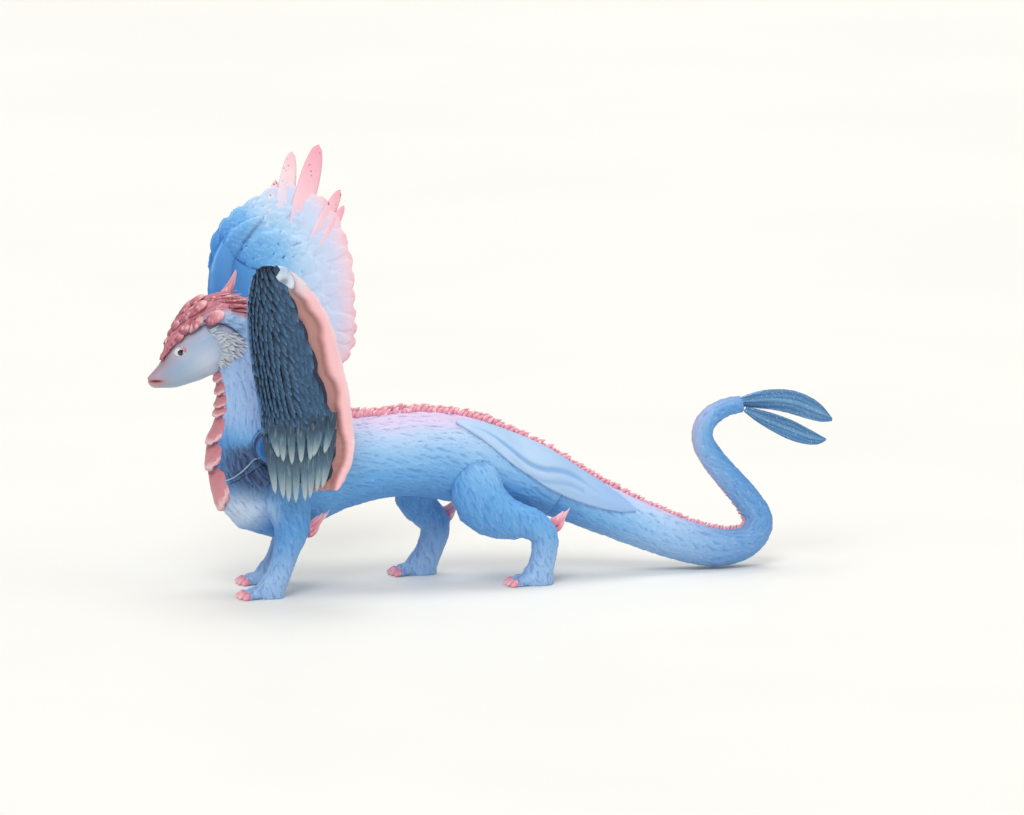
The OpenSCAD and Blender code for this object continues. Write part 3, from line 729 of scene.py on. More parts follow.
def ruff():
    """Jagged silvery fur behind each cheek."""
    paint = Paint("ruff_paint", roughness=0.34, specular_ior_level=0.6)
    grain = paint.noise(700, 4.0)
    colour = paint.ramp(
        paint.attribute("along"),
        (0.0, rgb(128, 142, 158)), (0.5, rgb(190, 200, 210)), (1.0, rgb(236, 240, 242)),
    )
    colour = paint.mix(paint.span(grain, 0.55, 0.8), colour, rgb(214, 206, 202))
    material = paint.finish(colour, None, [(grain, 0.1)])
    rng = dice(41)
    for name, sign in (("left", -1), ("right", 1)):
        tufts = Strands(5)
        for k in range(120):
            share = rng.random()
            at = where(-96, 82) - 1.5 * MM + share * 8.5 * MM
            angle = sign * (84 + rng.uniform(-40, 34))
            base, out, ahead = around(at, angle)
            run = unit(ahead * 1.0 + out * 0.22 + np.array([0.35, 0, rng.uniform(-0.5, 0.3)]))
            long = rng.uniform(2.2, 4.2)
            path = curl(base - out * 0.3 * MM, run, out, long, 0.5, 0.5, rng.uniform(-1, 1), 5)
            width = rng.uniform(0.55, 0.95) * taper(5, 0.7, 0.8)
            tufts.add(path, out, width, width * 0.75, rng.random(), 0.5)
        tufts.piece(name + "_ruff_tufts", material, BODY, name + "_cheek_ruff")


ruff()


# ---------- head ----------

def near_to(co, spot, radius):
    """Smooth share from 1 at a spot, given in mm either side of the keel, to 0 beyond about a radius."""
    away = np.stack([co[:, 0], np.abs(co[:, 1] - keel), co[:, 2]], 1) / MM - np.asarray(spot, float)
    return np.exp(-((away / radius) ** 2).sum(1))


def head():
    """Smooth painted face with full cheeks, a brow, and small pink-lipped nostrils at the snout's tip."""
    mesh = remeshed(["head"], 0.22, 8)
    co, no = points_of(mesh), normals_of(mesh)
    cheek = near_to(co, (-97, 9, 75), (6, 8, 6))
    brow = near_to(co, (-107, 5, 81.6), (4, 3, 1.4))
    lip = near_to(co, (-113.6, 1.9, 69.2), (2.6, 3, 1.3))
    slit = near_to(co, (-113.6, 1.9, 69.2), (1.7, 3, 0.42))
    set_points(mesh, co + no * MM * (0.9 * cheek + 0.5 * brow + 0.32 * lip - 0.85 * slit)[:, None])
    note(mesh, "top", 0.5 + 0.5 * upward(co)[1])
    note(mesh, "cheek", cheek)
    note(mesh, "lip", np.clip(1.6 * lip, 0, 1))
    note(mesh, "slit", np.clip(1.5 * slit, 0, 1))
    note(mesh, "lid", np.clip(1.3 * near_to(co, (-106.5, 5, 78.6), (3.0, 6, 2.4)), 0, 1))
    p = Paint("face_paint", roughness=0.4, specular_ior_level=0.45)
    cloud = p.noise(120, 3.0)
    colour = p.ramp(
        p.sum(p.attribute("top"), p.times(cloud, 0.12)), (0.15, rgb(160, 184, 204)),
        (0.6, rgb(146, 176, 206)), (0.85, rgb(158, 164, 186)), (1.0, rgb(164, 134, 146)),
    )
    colour = p.mix(p.times(p.attribute("cheek"), 0.8), colour, rgb(216, 220, 238))
    colour = p.mix(p.times(p.attribute("lid"), 0.45), colour, rgb(196, 196, 214))
    snout = p.span(p.axis("X"), -0.104, -0.1135)
    colour = p.mix(p.times(snout, 0.5), colour, rgb(160, 140, 154))
    colour = p.mix(p.times(p.attribute("lip"), 0.8), colour, rgb(196, 136, 144))
    colour = p.mix(p.attribute("slit"), colour, rgb(92, 34, 44))
    fine = p.noise(1400, 3.0)
    new_piece("head_skin", mesh, p.finish(colour, None, [(fine, 0.025)]), BODY, "head")


head()


def eyes():
    """Dark pupil in a pale ring on each CAD eyeball, inside an eyelid with a pink inner corner."""
    low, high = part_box("left_eye")
    p = Paint("eye_paint", roughness=0.08, specular_ior_level=0.6, coat_weight=0.6)
    radius, across = p.from_axis((low + high) / 2)
    streaks = p.noise(2600, 2.0)
    ring = p.mix(p.times(streaks, 0.3), rgb(222, 226, 232), rgb(150, 130, 150))
    colour = p.mix(p.span(radius, 0.00092, 0.00104), rgb(8, 8, 12), ring)
    colour = p.mix(p.span(across, 0.00105, 0.0013), colour, rgb(206, 110, 122))
    material = p.finish(colour)
    lid_paint = Paint("lid_paint", roughness=0.4)
    tone = lid_paint.attribute("tone")
    fine = lid_paint.noise(900, 3.0)
    shade = lid_paint.ramp(tone, (0.2, rgb(206, 204, 220)), (0.8, rgb(214, 108, 118)))
    shade = lid_paint.mix(lid_paint.times(fine, 0.2), shade, rgb(150, 150, 176))
    lid_material = lid_paint.finish(shade, None, [(fine, 0.04)])
    lids = Strands(8)
    for node, sign in (("left_eye", -1), ("right_eye", 1)):
        repaint(material, node)
        low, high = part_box(node)
        centre = (np.array(low) + np.array(high)) / 2
        out = np.array([-0.25, sign * 0.93, 0.2])
        for start, stop, tone in ((10, 350, 0.1), (-16, 44, 0.95)):
            ring = []
            for angle in np.linspace(start, stop, 21):
                turn = math.radians(angle)
                reach = 1.5 + 0.35 * max(math.cos(turn), 0) ** 3
                rise = 1.32 * math.sin(turn) + 0.25 * math.cos(turn)
                spot = centre + MM * np.array([reach * math.cos(turn), 0, rise])
                hit = trunk.ray_cast(Vector(spot + out * 0.01), Vector(-out), 0.02)[0]
                ring.append(np.array(hit) + out * 0.12 * MM if hit else spot)
            lids.add(ring, out, 0.5, 0.42, tone, 0.6)
    lids.piece("eyelids", lid_material, BODY)


eyes()


# ---------- feet, spurs, hips and fins ----------

def rims(share, values, steps=28):
    """Smooth lowest and highest value at each share of a shape's length."""
    marks = np.linspace(0, 1, steps)
    near = [np.abs(share - m) < 0.7 / steps for m in marks]
    low = np.array([values[n].min() for n in near])
    high = np.array([values[n].max() for n in near])
    return np.interp(share, marks, low), np.interp(share, marks, high)


def claws():
    """A pink nail over the end of every toe."""
    paint = pink_paint("claw_paint", (206, 120, 144), (232, 150, 168), (246, 198, 206), 0.3, 0.4)
    for corner in ("front_left", "front_right", "rear_left", "rear_right"):
        mesh = remeshed([corner + "_claws"], 0.14, 3)
        co, no = points_of(mesh), normals_of(mesh)
        along = (co[:, 0].max() - co[:, 0]) / np.ptp(co[:, 0])
        set_points(mesh, co + no * 0.32 * MM)
        note(mesh, "along", along)
        note(mesh, "tone", np.zeros(len(co)))
        new_piece(corner + "_nails", mesh, paint, BODY, corner + "_claws")


claws()


def spurs():
    """A tuft of thick pink locks behind each elbow and above each hock."""
    rng = dice(51)
    paint = pink_paint("spur_paint", (196, 118, 146), (228, 150, 170), (248, 208, 214), 0.5)
    for node in ("left_elbow_spur", "right_elbow_spur", "left_hock_spur", "right_hock_spur"):
        low, high = (np.array(corner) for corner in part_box(node))
        middle_y = (low[1] + high[1]) / 2
        root = np.array([low[0] - 0.6 * MM, middle_y, low[2] + 0.36 * (high[2] - low[2])])
        tip = np.array([high[0], middle_y, high[2]])
        side = np.array([0, 1, 0]) if low[1] > keel else np.array([0, -1, 0])
        tuft = Strands(7)
        across = unit(np.cross(tip - root, side))
        for k in range(18):
            offset = rng.uniform(-1, 1)
            start = root + across * offset * 2.6 * MM + side * rng.uniform(-0.9, 0.9) * MM
            share = rng.uniform(0.75, 1.02) * (1 - 0.35 * abs(offset))
            end = root + (tip - root) * share + across * offset * MM
            u = np.linspace(0, 1, 8)[:, None]
            sag = np.array([0.8, 0, -1.3]) * MM
            path = start * (1 - u) + end * u + 4 * sag * u * (1 - u) * 0.6
            width = rng.uniform(0.75, 1.1)
            tuft.add(path, side, width * taper(8), 0.7 * width * taper(8), rng.random(), 1)
        tuft.piece(node + "_tuft", paint, BODY, node)


spurs()


def hips():
    """Smooth pale panels on the hips with a groove along the middle and a wavy rim."""
    p = Paint("panel_paint", roughness=0.36, specular_ior_level=0.5)
    cloud, x = p.noise(60, 2.0), p.axis("X")
    colour = p.ramp(cloud, (0.3, rgb(166, 198, 232)), (0.7, rgb(186, 212, 238)))
    colour = p.mix(p.span(x, 0.0, 0.045), colour, rgb(146, 182, 228))
    colour = p.mix(p.span(p.attribute("relief"), 0.1, 1.0), colour, rgb(128, 172, 220))
    fine = p.noise(700, 3.0)
    material = p.finish(colour, None, [(fine, 0.03)])
    for side in ("left", "right"):
        mesh = remeshed([side + "_hip_panel"], 0.3, 5)
        co, no = points_of(mesh), normals_of(mesh)
        share = (co[:, 0] - co[:, 0].min()) / np.ptp(co[:, 0])
        low, high = rims(share, co[:, 2])
        level = (co[:, 2] - low) / np.maximum(high - low, 1e-6)
        middle = 0.5 + 0.13 * np.sin(share * 12)
        ends = np.clip(share * 4, 0, 1) * np.clip((0.85 - share) * 5, 0, 1)
        groove = np.exp(-((level - middle) / 0.075) ** 2) * ends
        lower_ends = np.clip((share - 0.2) * 5, 0, 1) * (share < 0.7)
        second = np.exp(-((level - middle + 0.27) / 0.07) ** 2) * lower_ends
        lines = np.clip(groove + 0.6 * second, 0, 1)
        swell = 0.35 * np.sin(np.pi * np.clip(level, 0, 1)) * np.sin(np.pi * share)
        note(mesh, "relief", lines)
        set_points(mesh, co + no * MM * (0.15 + swell - 0.45 * lines)[:, None])
        new_piece(side + "_hip_shell", mesh, material, BODY, side + "_hip_panel")


hips()


def fins():
    """Metallic tail lobes with ribs that run from root to tip."""
    p = Paint("fin_paint", specular_ior_level=0.6)
    flakes = p.noise(2600, 2.0)
    cloud = p.noise(110, 3.0)
    colour = p.ramp(
        p.attribute("relief"), (0.0, rgb(72, 120, 168)), (0.55, rgb(88, 140, 188)), (1.0, rgb(118, 166, 206)),
    )
    colour = p.mix(p.times(cloud, 0.45), colour, rgb(48, 96, 150))
    colour = p.mix(p.span(flakes, 0.62, 0.72), colour, rgb(196, 226, 240))
    rough = p.scaled(flakes, 0.22, 0.42)
    metal = p.scaled(flakes, 0.35, 0.65)
    material = p.finish(colour, rough, [(flakes, 0.04)], metal)
    for node in ("tail_fin_upper", "tail_fin_lower"):
        mesh = remeshed([node], 0.2, 4)
        co, no = points_of(mesh), normals_of(mesh)
        share = (co[:, 0] - co[:, 0].min()) / np.ptp(co[:, 0])
        low, high = rims(share, co[:, 2])
        level = (co[:, 2] - low) / np.maximum(high - low, 1e-6)
        ribs = 0.5 + 0.5 * np.cos(2 * np.pi * 5 * (level - 0.5) + 1.2 * np.sin(9 * share))
        rib = np.exp(-((level - 0.52) / 0.09) ** 2)
        note(mesh, "relief", np.clip(0.7 * ribs + rib, 0, 1))
        flat = np.clip(np.abs(no[:, 1]) * 1.5, 0, 1)
        set_points(mesh, co + no * MM * ((0.14 * (ribs - 0.5) + 0.3 * rib) * flat)[:, None])
        new_piece(node + "_web", mesh, material, BODY, node)


fins()


RING_PITCH = 5200.0


def fittings():
    """Shoulder collars and hidden pins, which keep their CAD shape, and the pale seam on the chest."""
    low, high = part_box("left_collar")
    p = Paint("collar_paint", roughness=0.3, specular_ior_level=0.5)
    radius, _ = p.from_axis((low + high) / 2)
    wave = p.math("SINE", p.times(radius, RING_PITCH))
    fine = p.noise(1200, 3.0)
    colour = p.mix(p.span(wave, 0.55, 0.95), rgb(26, 52, 92), rgb(120, 160, 205))
    colour = p.mix(p.times(fine, 0.3), colour, rgb(40, 84, 140))
    material = p.finish(colour, None, [(fine, 0.03)])
    repaint(material, "left_collar", "right_collar")
    steel = Paint("pin_paint", metallic=1.0)
    brushed = steel.noise(500, 2.0, (1, 1, 12))
    rough = steel.scaled(brushed, 0.25, 0.45)
    grey = steel.ramp(brushed, (0.3, rgb(150, 152, 156)), (0.7, rgb(196, 198, 202)))
    steel_material = steel.finish(grey, rough)
    repaint(steel_material, "neck_pin", "head_pin", "tail_pin")
    seams = Strands(6)
    for sign in (-1, 1):
        path = []
        for u in np.linspace(0, 1, 16):
            x, z = -93.5 + 10 * u, 36.6 + 8.6 * u**1.5
            hit = trunk.ray_cast(Vector((x * MM, keel + sign * 0.03, z * MM)), Vector((0, -sign, 0)), 0.03)[0]
            if hit:
                path.append(np.array(hit) + [0, sign * 0.35 * MM, 0])
        seams.add(path, (0, sign, 0), 0.24, 0.24, 0.2, 1)
    seam = Paint("seam_paint", roughness=0.4)
    mottle = seam.noise(600, 2.0)
    seam_material = seam.finish(seam.ramp(mottle, (0.3, rgb(116, 150, 184)), (0.7, rgb(158, 188, 212))))
    seams.piece("chest_seams", seam_material, BODY)


fittings()


# ---------- left wing, folded ----------

def sheet_height(node, knee):
    """Distance y of both faces of a curved wing sheet at a height z: flat below the knee, then a parabola."""
    co, no = points_of(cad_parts[node].data), normals_of(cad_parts[node].data)
    faces = []
    for sign in (-1, 1):
        use = co[no[:, 1] * sign > 0.5]
        terms = np.stack([np.ones(len(use)), np.maximum(use[:, 2] / MM - knee, 0) ** 2], 1)
        faces.append(np.linalg.lstsq(terms, use[:, 1], rcond=None)[0])
    return lambda z, side: faces[side][0] + faces[side][1] * max(z - knee, 0) ** 2


def edges(mesh, steps=24, window=2.6):
    """Leading and trailing edge of a mesh at a height z, all in mm."""
    co = points_of(mesh) / MM
    marks = np.linspace(co[:, 2].min(), co[:, 2].max(), steps)
    near = [np.abs(co[:, 2] - z) < window for z in marks]
    lead = np.array([co[n, 0].min() for n in near])
    trail = np.array([co[n, 0].max() for n in near])
    return lambda z: (float(np.interp(z, marks, lead)), float(np.interp(z, marks, trail)))


FOLD_KNEE, SPREAD_KNEE = 40, 45


def blade(
    strands, y_of, x, z, angle, length, half_width, tone, lift=0.6, sway=0.0, thick=0.22, lean=0, steps=8,
):
    """One feather lying in a wing from (x, z) mm, pointing along an angle in degrees from +X."""
    turn = math.radians(angle)
    run = np.array([math.cos(turn), math.sin(turn)])
    side = np.array([-run[1], run[0]])
    u = np.linspace(0, 1, steps)
    spots = np.array([x, z]) + np.outer(u * length, run) + np.outer(sway * u**2, side)
    off = lean - lift * np.sin(np.pi * 0.5 * u) + 0.35 * lift * u**3
    path = np.array([[sx * MM, y_of(sz) + o * MM, sz * MM] for (sx, sz), o in zip(spots, off)])
    wide, high = half_width * taper(steps, 0.75, 0.5), thick * 2 * taper(steps, 0.9, 0.3)
    strands.add(path, (0, -1, 0), wide, high, tone, 0.3)


# Paint of the folded wing: its deep blues are partly the wing's own darker paint and partly painted shade, as
# this wing faces down, away from the light.
def near_wing_paint(name, deep, middle, pale, start=0.25):
    p = Paint(name, roughness=0.42, specular_ior_level=0.45)
    along, tone = p.attribute("along"), p.attribute("tone")
    barbs = p.noise(1500, 2.0, (1, 1, 0.2))
    colour = p.ramp(along, (0.0, rgb(*deep)), (start, rgb(*deep)), (0.62, rgb(*middle)), (1.0, rgb(*pale)))
    colour = p.mix(p.times(tone, 0.35), colour, rgb(*middle))
    colour = p.mix(p.times(p.span(barbs, 0.52, 0.72), 0.22), colour, rgb(*pale))
    return p.finish(colour, None, [(barbs, 0.12)])


def near_wing():
    """Narrow feathers in deep blue with painted shade, tiny at the leading edge, over a dark sheet painted as
    shadow; long frosted ones below.
    """
    rng = dice(61)
    node = "left_wing_coverts"
    height, rim = sheet_height(node, FOLD_KNEE), edges(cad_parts[node].data)
    surface = lambda z: height(z, 0)
    sheet = remeshed([node], 0.3, 5)
    co = points_of(sheet)
    note(sheet, "along", np.zeros(len(co)))
    note(sheet, "tone", np.zeros(len(co)))
    # The sheet under the feathers shows through their gaps as painted shadow.
    dark = near_wing_paint("covert_shadow_paint", (14, 30, 54), (24, 48, 78), (34, 64, 96))
    new_piece("left_covert_sheet", sheet, dark, LEFT, node)
    small = Strands(8)
    z = 109.5
    while z > 54:
        lead, trail = rim(z)
        lower = np.clip((52 - z) / 16, 0, 1)
        x = lead + 0.2
        while x < trail - 1.7:
            chord = (x - lead) / max(trail - lead, 1)
            size = 0.46 + 0.5 * min(chord * 2.2, 1) + 0.3 * lower
            edge_angle = math.degrees(math.atan2(-4, rim(z - 4)[1] - trail))
            inside = -86 + 34 * min(chord * 1.8, 1) - 12 * lower
            pull = np.clip((chord - 0.55) / 0.35, 0, 1)
            angle = inside * (1 - pull) + edge_angle * pull + rng.uniform(-3, 3)
            smooth = chord > 0.55 and z > 60
            blade(
                small, surface, x + rng.uniform(-0.2, 0.2), z + rng.uniform(-0.5, 0.5), angle,
                6.6 * size * (1.25 if smooth else 1), (1.12 if not smooth else 1.5) * size,
                0.8 if smooth else rng.uniform(0, 0.35), 0.5 if not smooth else 0.22, rng.uniform(-0.3, 0.3),
                0.3 if not smooth else 0.2,
            )
            x += 1.95 * size
        z -= 2.1 + 0.8 * lower
    # Deep blues of the small feathers: their own darker paint with painted shade.
    paint = near_wing_paint("covert_paint_with_painted_shade", (12, 30, 56), (44, 88, 126), (84, 128, 158))
    small.piece("left_covert_feathers", paint, LEFT)
    paint = near_wing_paint("primary_paint", (34, 62, 86), (78, 108, 128), (176, 194, 200), 0.35)
    long = Strands(10)
    for top, drop, count, half_width, rise in ((55, 31.6, 8, 2.2, 0.6), (60.5, 43.5, 7, 2.1, 1.3)):
        for k in range(count):
            across = k / (count - 1)
            x = -84.2 + 21.5 * across
            tip_x = -80.4 + 15.6 * across + rng.uniform(-0.4, 0.4)
            tip_z = drop + 9 * abs(across - 0.45) ** 1.5 + rng.uniform(0, 1.2)
            angle = math.degrees(math.atan2(tip_z - top, tip_x - x))
            blade(
                long, surface, x, top, angle, math.hypot(tip_x - x, tip_z - top), half_width,
                rng.uniform(0, 0.3), rise + 0.2 * (k % 2), rng.uniform(-1.2, 0.2), 0.3, 0.2, 16,
            )
    long.piece("left_long_feathers", paint, LEFT, "left_wing_primaries")


near_wing()


def lining():
    """Smooth pink shell behind the folded wing, with a shaded hollow next to the feathers."""
    node = "left_wing_lining"
    mesh = remeshed([node], 0.3, 6)
    rim = edges(mesh, 140, 0.4)
    co, no = points_of(mesh), normals_of(mesh)
    feather_rim = edges(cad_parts["left_wing_coverts"].data)
    inner = np.array([feather_rim(z)[1] for z in co[:, 2] / MM])
    outer = np.array([rim(z)[1] for z in co[:, 2] / MM])
    level = (co[:, 0] / MM - inner) / np.maximum(outer - inner, 1)
    z = co[:, 2] / MM
    wobble = 0.1 * np.sin(z * 0.3)
    fold = np.clip((level - 0.38 - wobble) / 0.2, 0, 1)
    bulge = 1.5 * np.sin(np.pi * np.clip((level - 0.3 - wobble) / 0.75, 0, 1)) ** 0.8
    hollow = -0.5 * np.exp(-((level - 0.25 - wobble) / 0.16) ** 2)
    creases = 0.1 * np.sin(z * 2.6 + 4 * level) * np.clip((60 - z) / 12, 0, 1)
    outward = no[:, 1] < -0.2
    even = np.polyval(np.polyfit(z, outer, 4), z) + 0.6 - outer
    co[:, 0] += even * np.clip(level, 0, 1) * MM
    co[:, 1] -= np.where(outward, bulge + hollow + creases, 0) * MM
    set_points(mesh, co)
    note(mesh, "fold", fold)
    note(mesh, "level", level)
    p = Paint("lining_paint", roughness=0.4, specular_ior_level=0.45)
    cloud = p.noise(90, 3.0)
    # Brownish at the low end of the ramp is painted shade in the hollow beside the feathers; pink and then
    # pale further out.
    colour = p.ramp(
        p.attribute("fold"), (0.0, rgb(176, 124, 120)), (0.6, rgb(232, 168, 174)), (1.0, rgb(246, 190, 196)),
    )
    edge = p.span(p.sum(p.attribute("level"), p.times(cloud, 0.2)), 0.85, 1.15)
    colour = p.mix(edge, colour, rgb(246, 222, 228))
    colour = p.mix(p.span(p.axis("Z"), 0.096, 0.108), colour, rgb(226, 224, 236))
    colour = p.mix(p.times(cloud, 0.2), colour, rgb(250, 206, 206))
    fine = p.noise(900, 3.0)
    new_piece("left_lining_shell", mesh, p.finish(colour, None, [(fine, 0.03)]), LEFT, node)


lining()


# ---------- right wing, spread ----------

FAN_CENTRE = np.array([-80, 90])


def fan_paint(name):
    """From deep blue at the arm through sky blue to lilac white and a pink trailing edge."""
    p = Paint(name, roughness=0.34, specular_ior_level=0.5)
    reach, relief_share = p.attribute("reach"), p.attribute("relief")
    cloud = p.noise(45, 3.0)
    tint = p.sum(reach, p.times(p.minus(cloud, 0.5), 0.16))
    colour = p.ramp(
        tint, (0.0, rgb(54, 118, 188)), (0.3, rgb(78, 152, 218)), (0.5, rgb(120, 184, 234)),
        (0.68, rgb(182, 214, 242)), (0.88, rgb(206, 214, 240)), (0.95, rgb(236, 208, 220)),
        (1.0, rgb(238, 180, 188)),
    )
    # Painted shade in the grooves between the scales and feathers, and a painted highlight on their raised
    # tips.
    groove = p.span(relief_share, 0.0, 0.4)
    shadow = p.mix(0.75, colour, rgb(48, 108, 186), "MULTIPLY")
    colour = p.mix(groove, p.mix(p.span(tint, 0.8, 0.5), colour, shadow), colour)
    tips = p.span(relief_share, 0.6, 1.0)
    colour = p.mix(p.times(tips, 0.4), colour, rgb(226, 240, 252))
    fine = p.noise(900, 3.0)
    return p.finish(colour, None, [(fine, 0.03)])


def wing_reach(bearing, share):
    """How far toward its pale trailing edge a place in the right wing is; the leading edge stays blue."""
    start = np.interp(bearing, [-60, 0, 40, 75, 100], [0.5, 0.4, 0.14, 0.0, 0.0])
    stop = np.interp(bearing, [-60, 62, 76, 90, 110], [1.0, 0.98, 0.62, 0.42, 0.3])
    return np.clip(start + share**1.15 * (stop - start), 0, 1)


def far_wing():
    """One smooth shell with round scales in the middle and long soft feathers that fan out from them."""
    rng = dice(71)
    nodes = ["right_wing_fan", "right_wing_scales", "right_wing_coverts", "right_wing_arm"]
    mesh = remeshed(nodes, 0.34, 26)
    co = points_of(mesh)
    surface = sheet_height("right_wing_fan", SPREAD_KNEE)
    front = np.array([surface(z, 0) for z in co[:, 2] / MM])
    above = np.clip((co[:, 2] / MM - 68) / 14, 0, 1)
    proud = np.clip(front - 0.6 - co[:, 1] / MM, 0, None)
    co[:, 1] += 0.72 * above * proud * MM
    set_points(mesh, co)
    flat = co[:, [0, 2]] / MM
    gap = flat - FAN_CENTRE
    bearing = np.degrees(np.arctan2(gap[:, 1], gap[:, 0]))
    radius = np.linalg.norm(gap, axis=1)
    marks = np.linspace(-60, 110, 60)
    rims_near = [radius[np.abs(bearing - m) < 4] for m in marks]
    far = np.interp(bearing, marks, [near.max() if len(near) else 30 for near in rims_near])
    share = np.clip(radius / far, 0, 1)
    arm = np.clip((-66 - flat[:, 0]) / 8, 0, 1) * np.clip((98 - flat[:, 1]) / 8, 0, 1)
    note(mesh, "reach", wing_reach(bearing, share) * (1 - arm) + 0.1 * arm)
    pebbled = np.hypot((flat[:, 0] + 67) / 13, (flat[:, 1] - 108) / 10) < 1
    soft = (radius > 14) & ~pebbled & (bearing < 96) & ((bearing < 70) | (share > 0.75)) & (arm < 0.3)
    seeds = [spread_seeds(co, 1.35, rng, pebbled), spread_seeds(co, 3.6, rng, soft)]
    count = [len(s) for s in seeds]
    both = np.concatenate(seeds)
    out = unit(np.stack([gap[both, 0] + 4, np.zeros(len(both)), gap[both, 1]], 1))
    kind = np.repeat([0, 1], count)
    stretch = np.where(kind == 0, rng.uniform(1.9, 2.9, len(both)), rng.uniform(6, 9.5, len(both)))
    width = np.where(kind == 0, rng.uniform(0.75, 1.05, len(both)), rng.uniform(1.5, 2.3, len(both)))
    lift = np.where(kind == 0, 0.62, 0.42) * rng.uniform(0.8, 1.1, len(both))
    raised = relief(mesh, co[both], out, stretch, width, lift, feather_shape, sink=0.2)
    note(mesh, "relief", np.where(pebbled | soft, raised, 0.5))
    new_piece("right_wing_shell", mesh, fan_paint("fan_paint"), RIGHT, *nodes)


far_wing()


def near_arm():
    """Smooth blue arm of the folded wing, which ends in a pale knob over the feathers."""
    material = fan_paint("arm_paint")
    mesh = remeshed(["left_wing_arm"], 0.3, 4)
    co = points_of(mesh)
    note(mesh, "reach", np.interp(co[:, 2] / MM, [45, 90, 104, 115], [0.0, 0.12, 0.26, 0.5]))
    note(mesh, "relief", np.full(len(co), 0.5))
    new_piece("left_arm_skin", mesh, material, LEFT, "left_wing_arm")
    height = sheet_height("left_wing_coverts", FOLD_KNEE)
    knob = Strands(20)
    path = []
    for u in np.linspace(0, 1, 15):
        x, z = -86.2 + 7.2 * u, 108.6 - 1.2 * u - 5.0 * u**2
        path.append([x * MM, height(z, 0) + 1.0 * MM, z * MM])
    girth = 0.2 + 2.3 * np.sin(np.pi * np.linspace(0.06, 0.97, 15)) ** 0.6
    knob.add(path, (0, -1, 0), girth, 0.7 * girth, 0.2, 1)
    p = Paint("knob_paint", roughness=0.35, specular_ior_level=0.45)
    wisps = p.noise(260, 4.0)
    smudge = (-82.8 * MM, path[8][1] - 1.4 * MM, 104.6 * MM)
    away = p.node("VectorMath", {0: p.place(), 1: smudge}, operation="DISTANCE").outputs["Value"]
    colour = p.ramp(wisps, (0.3, rgb(168, 190, 218)), (0.7, rgb(226, 232, 240)))
    smudged = p.times(p.span(away, 2.2 * MM, 0.6 * MM), 0.6)
    colour = p.mix(smudged, colour, rgb(70, 84, 112))
    knob.piece("left_wrist_knob", p.finish(colour, None, [(wisps, 0.25)]), LEFT)


near_arm()


# Root x and z, tip x and z, half width, all in mm, and the share of pink of each plume
PLUMES = [
    (-57, 108, -44.6, 135.3, 3.4, 1.0), (-62, 108, -53.8, 133.6, 2.8, 0.1),
    (-52, 104, -39.6, 121.4, 2.2, 0.75), (-50.5, 101, -39, 116.6, 1.7, 0.85),
    (-66, 108, -60.4, 125.2, 2.0, 0.0), (-70, 108, -66.4, 120.4, 1.6, 0.0),
]


def plumes():
    """Tall round-tipped plumes that rise from the top of the right wing."""
    p = Paint("plume_paint", roughness=0.42, specular_ior_level=0.4)
    along, tone = p.attribute("along"), p.attribute("tone")
    cells = p.node("TexVoronoi", {"Vector": p.place(), "Scale": 850.0, "Randomness": 1.0}, feature="F1")
    cloud = p.noise(160, 3.0)
    base = p.ramp(
        along, (0.0, rgb(190, 214, 238)), (0.45, rgb(226, 216, 232)), (0.75, rgb(244, 214, 218)),
        (1.0, rgb(232, 188, 198)),
    )
    pink = p.ramp(along, (0.0, rgb(206, 206, 232)), (0.4, rgb(244, 200, 208)), (1.0, rgb(236, 158, 178)))
    colour = p.mix(tone, base, pink)
    patches = p.times(p.span(along, 0.55, 0.75), p.span(cloud, 0.42, 0.55))
    spotted = p.times(p.span(cells.outputs["Distance"], 0.32, 0.2), patches)
    colour = p.mix(p.times(spotted, 0.85), colour, rgb(96, 56, 92))
    streak = p.noise(500, 3.0, (1, 1, 0.2))
    material = p.finish(colour, None, [(streak, 0.15)])
    height = sheet_height("right_wing_primaries", SPREAD_KNEE)
    surface = lambda z: height(z, 0)
    tall = Strands(14)
    for x, z, tip_x, tip_z, half, tone in PLUMES:
        u = np.linspace(0, 1, 22)
        spots = np.array([x, z]) + np.outer(u, [tip_x - x, tip_z - z])
        path = np.array([[sx * MM, surface(sz) - 0.3 * MM, sz * MM] for sx, sz in spots])
        tall.add(path, (0, -1, 0), half * oval(22), 0.5 * oval(22), tone, 0.8)
    tall.piece("right_wing_plumes", material, RIGHT, "right_wing_primaries")


plumes()


# ---------- stage ----------

AZIMUTH, ELEVATION = math.radians(-18), math.radians(9)
DISTANCE = 6.0
FRAME_WIDTH = 0.326
SENSOR_WIDTH = 36
# What the camera looks at: how far to the right of the origin and how far up, in the picture's plane
TARGET_RIGHT, TARGET_UP = 0.0051, 0.0543


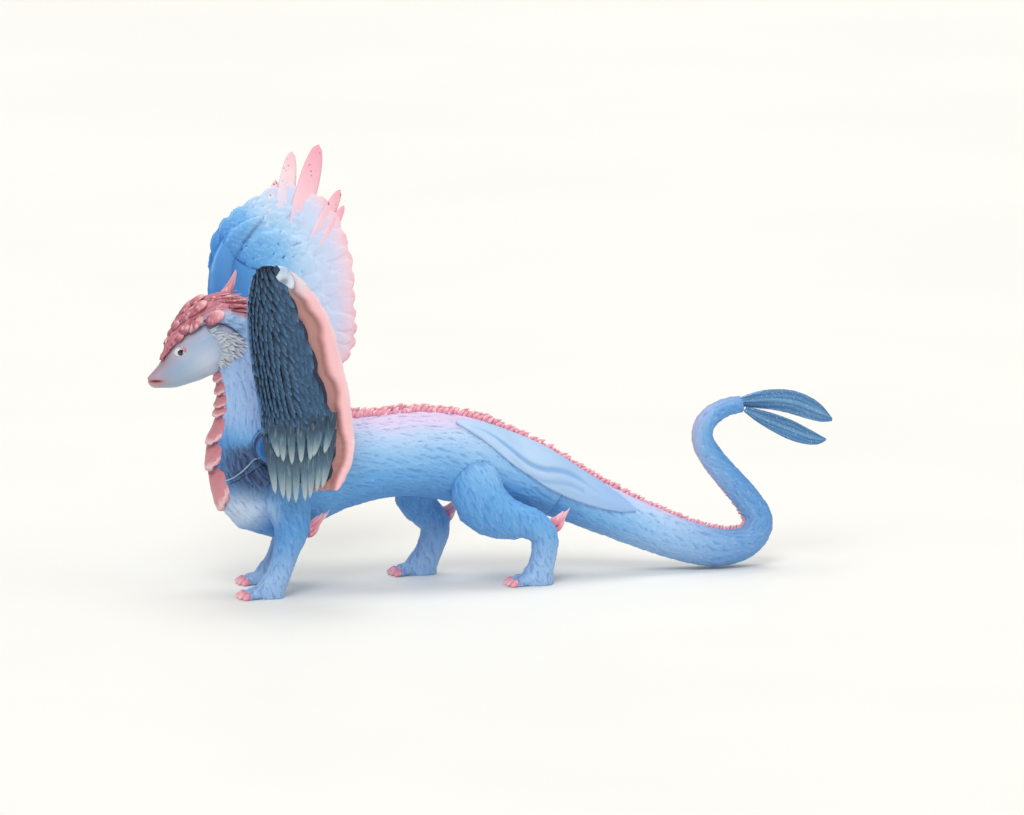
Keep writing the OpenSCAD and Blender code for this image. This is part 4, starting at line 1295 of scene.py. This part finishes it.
def camera():
    right = Vector((math.cos(AZIMUTH), math.sin(AZIMUTH), 0))
    flat = math.cos(ELEVATION)
    out = Vector((math.sin(AZIMUTH) * flat, -math.cos(AZIMUTH) * flat, math.sin(ELEVATION)))
    up = out.cross(right)
    data = bpy.data.cameras.new("camera")
    data.sensor_width = SENSOR_WIDTH
    data.lens = SENSOR_WIDTH * DISTANCE / FRAME_WIDTH
    data.clip_end = 40
    obj = bpy.data.objects.new("camera", data)
    bpy.context.scene.collection.objects.link(obj)
    target = Vector((0, keel, 0)) + right * TARGET_RIGHT + up * TARGET_UP
    obj.location = target + out * DISTANCE
    obj.rotation_euler = out.to_track_quat("Z", "Y").to_euler()
    bpy.context.scene.camera = obj


FLOOR_RADIUS = 20
# Name, direction toward the light, strength and spread in degrees
LIGHTS = [
    ("key", (-0.5, -0.9, 1.1), 1.3, 28),
    ("fill", (0.9, -0.7, 0.6), 0.4, 45),
    ("top", (0.1, 0.3, 1.3), 1.1, 36),
]


def studio():
    """A pale floor that reaches past every view, a pale surround and three soft lights."""
    paint = Paint("floor_paint", roughness=0.5, specular_ior_level=0.25)
    grain = paint.noise(6, 2.0)
    colour = paint.ramp(grain, (0.3, rgb(241, 240, 235)), (0.7, rgb(244, 243, 238)))
    turn = np.linspace(0, 2 * np.pi, 64, endpoint=False)
    rim = FLOOR_RADIUS * np.stack([np.cos(turn), np.sin(turn), np.zeros(64)], 1)
    floor = bpy.data.objects.new("floor", mesh_from(rim, [range(64)], "floor"))
    bpy.context.scene.collection.objects.link(floor)
    floor.data.materials.append(paint.finish(colour))
    world = bpy.data.worlds.new("studio")
    world.use_nodes = True
    world.node_tree.nodes["Background"].inputs["Color"].default_value = (1.0, 0.99, 0.965, 1)
    world.node_tree.nodes["Background"].inputs["Strength"].default_value = 0.5
    bpy.context.scene.world = world
    bpy.context.scene.view_settings.view_transform = "Standard"
    for name, direction, strength, spread in LIGHTS:
        data = bpy.data.lights.new(name, "SUN")
        data.energy = strength
        data.angle = math.radians(spread)
        light = bpy.data.objects.new(name, data)
        bpy.context.scene.collection.objects.link(light)
        light.rotation_euler = Vector(direction).to_track_quat("Z", "Y").to_euler()


camera()
studio()
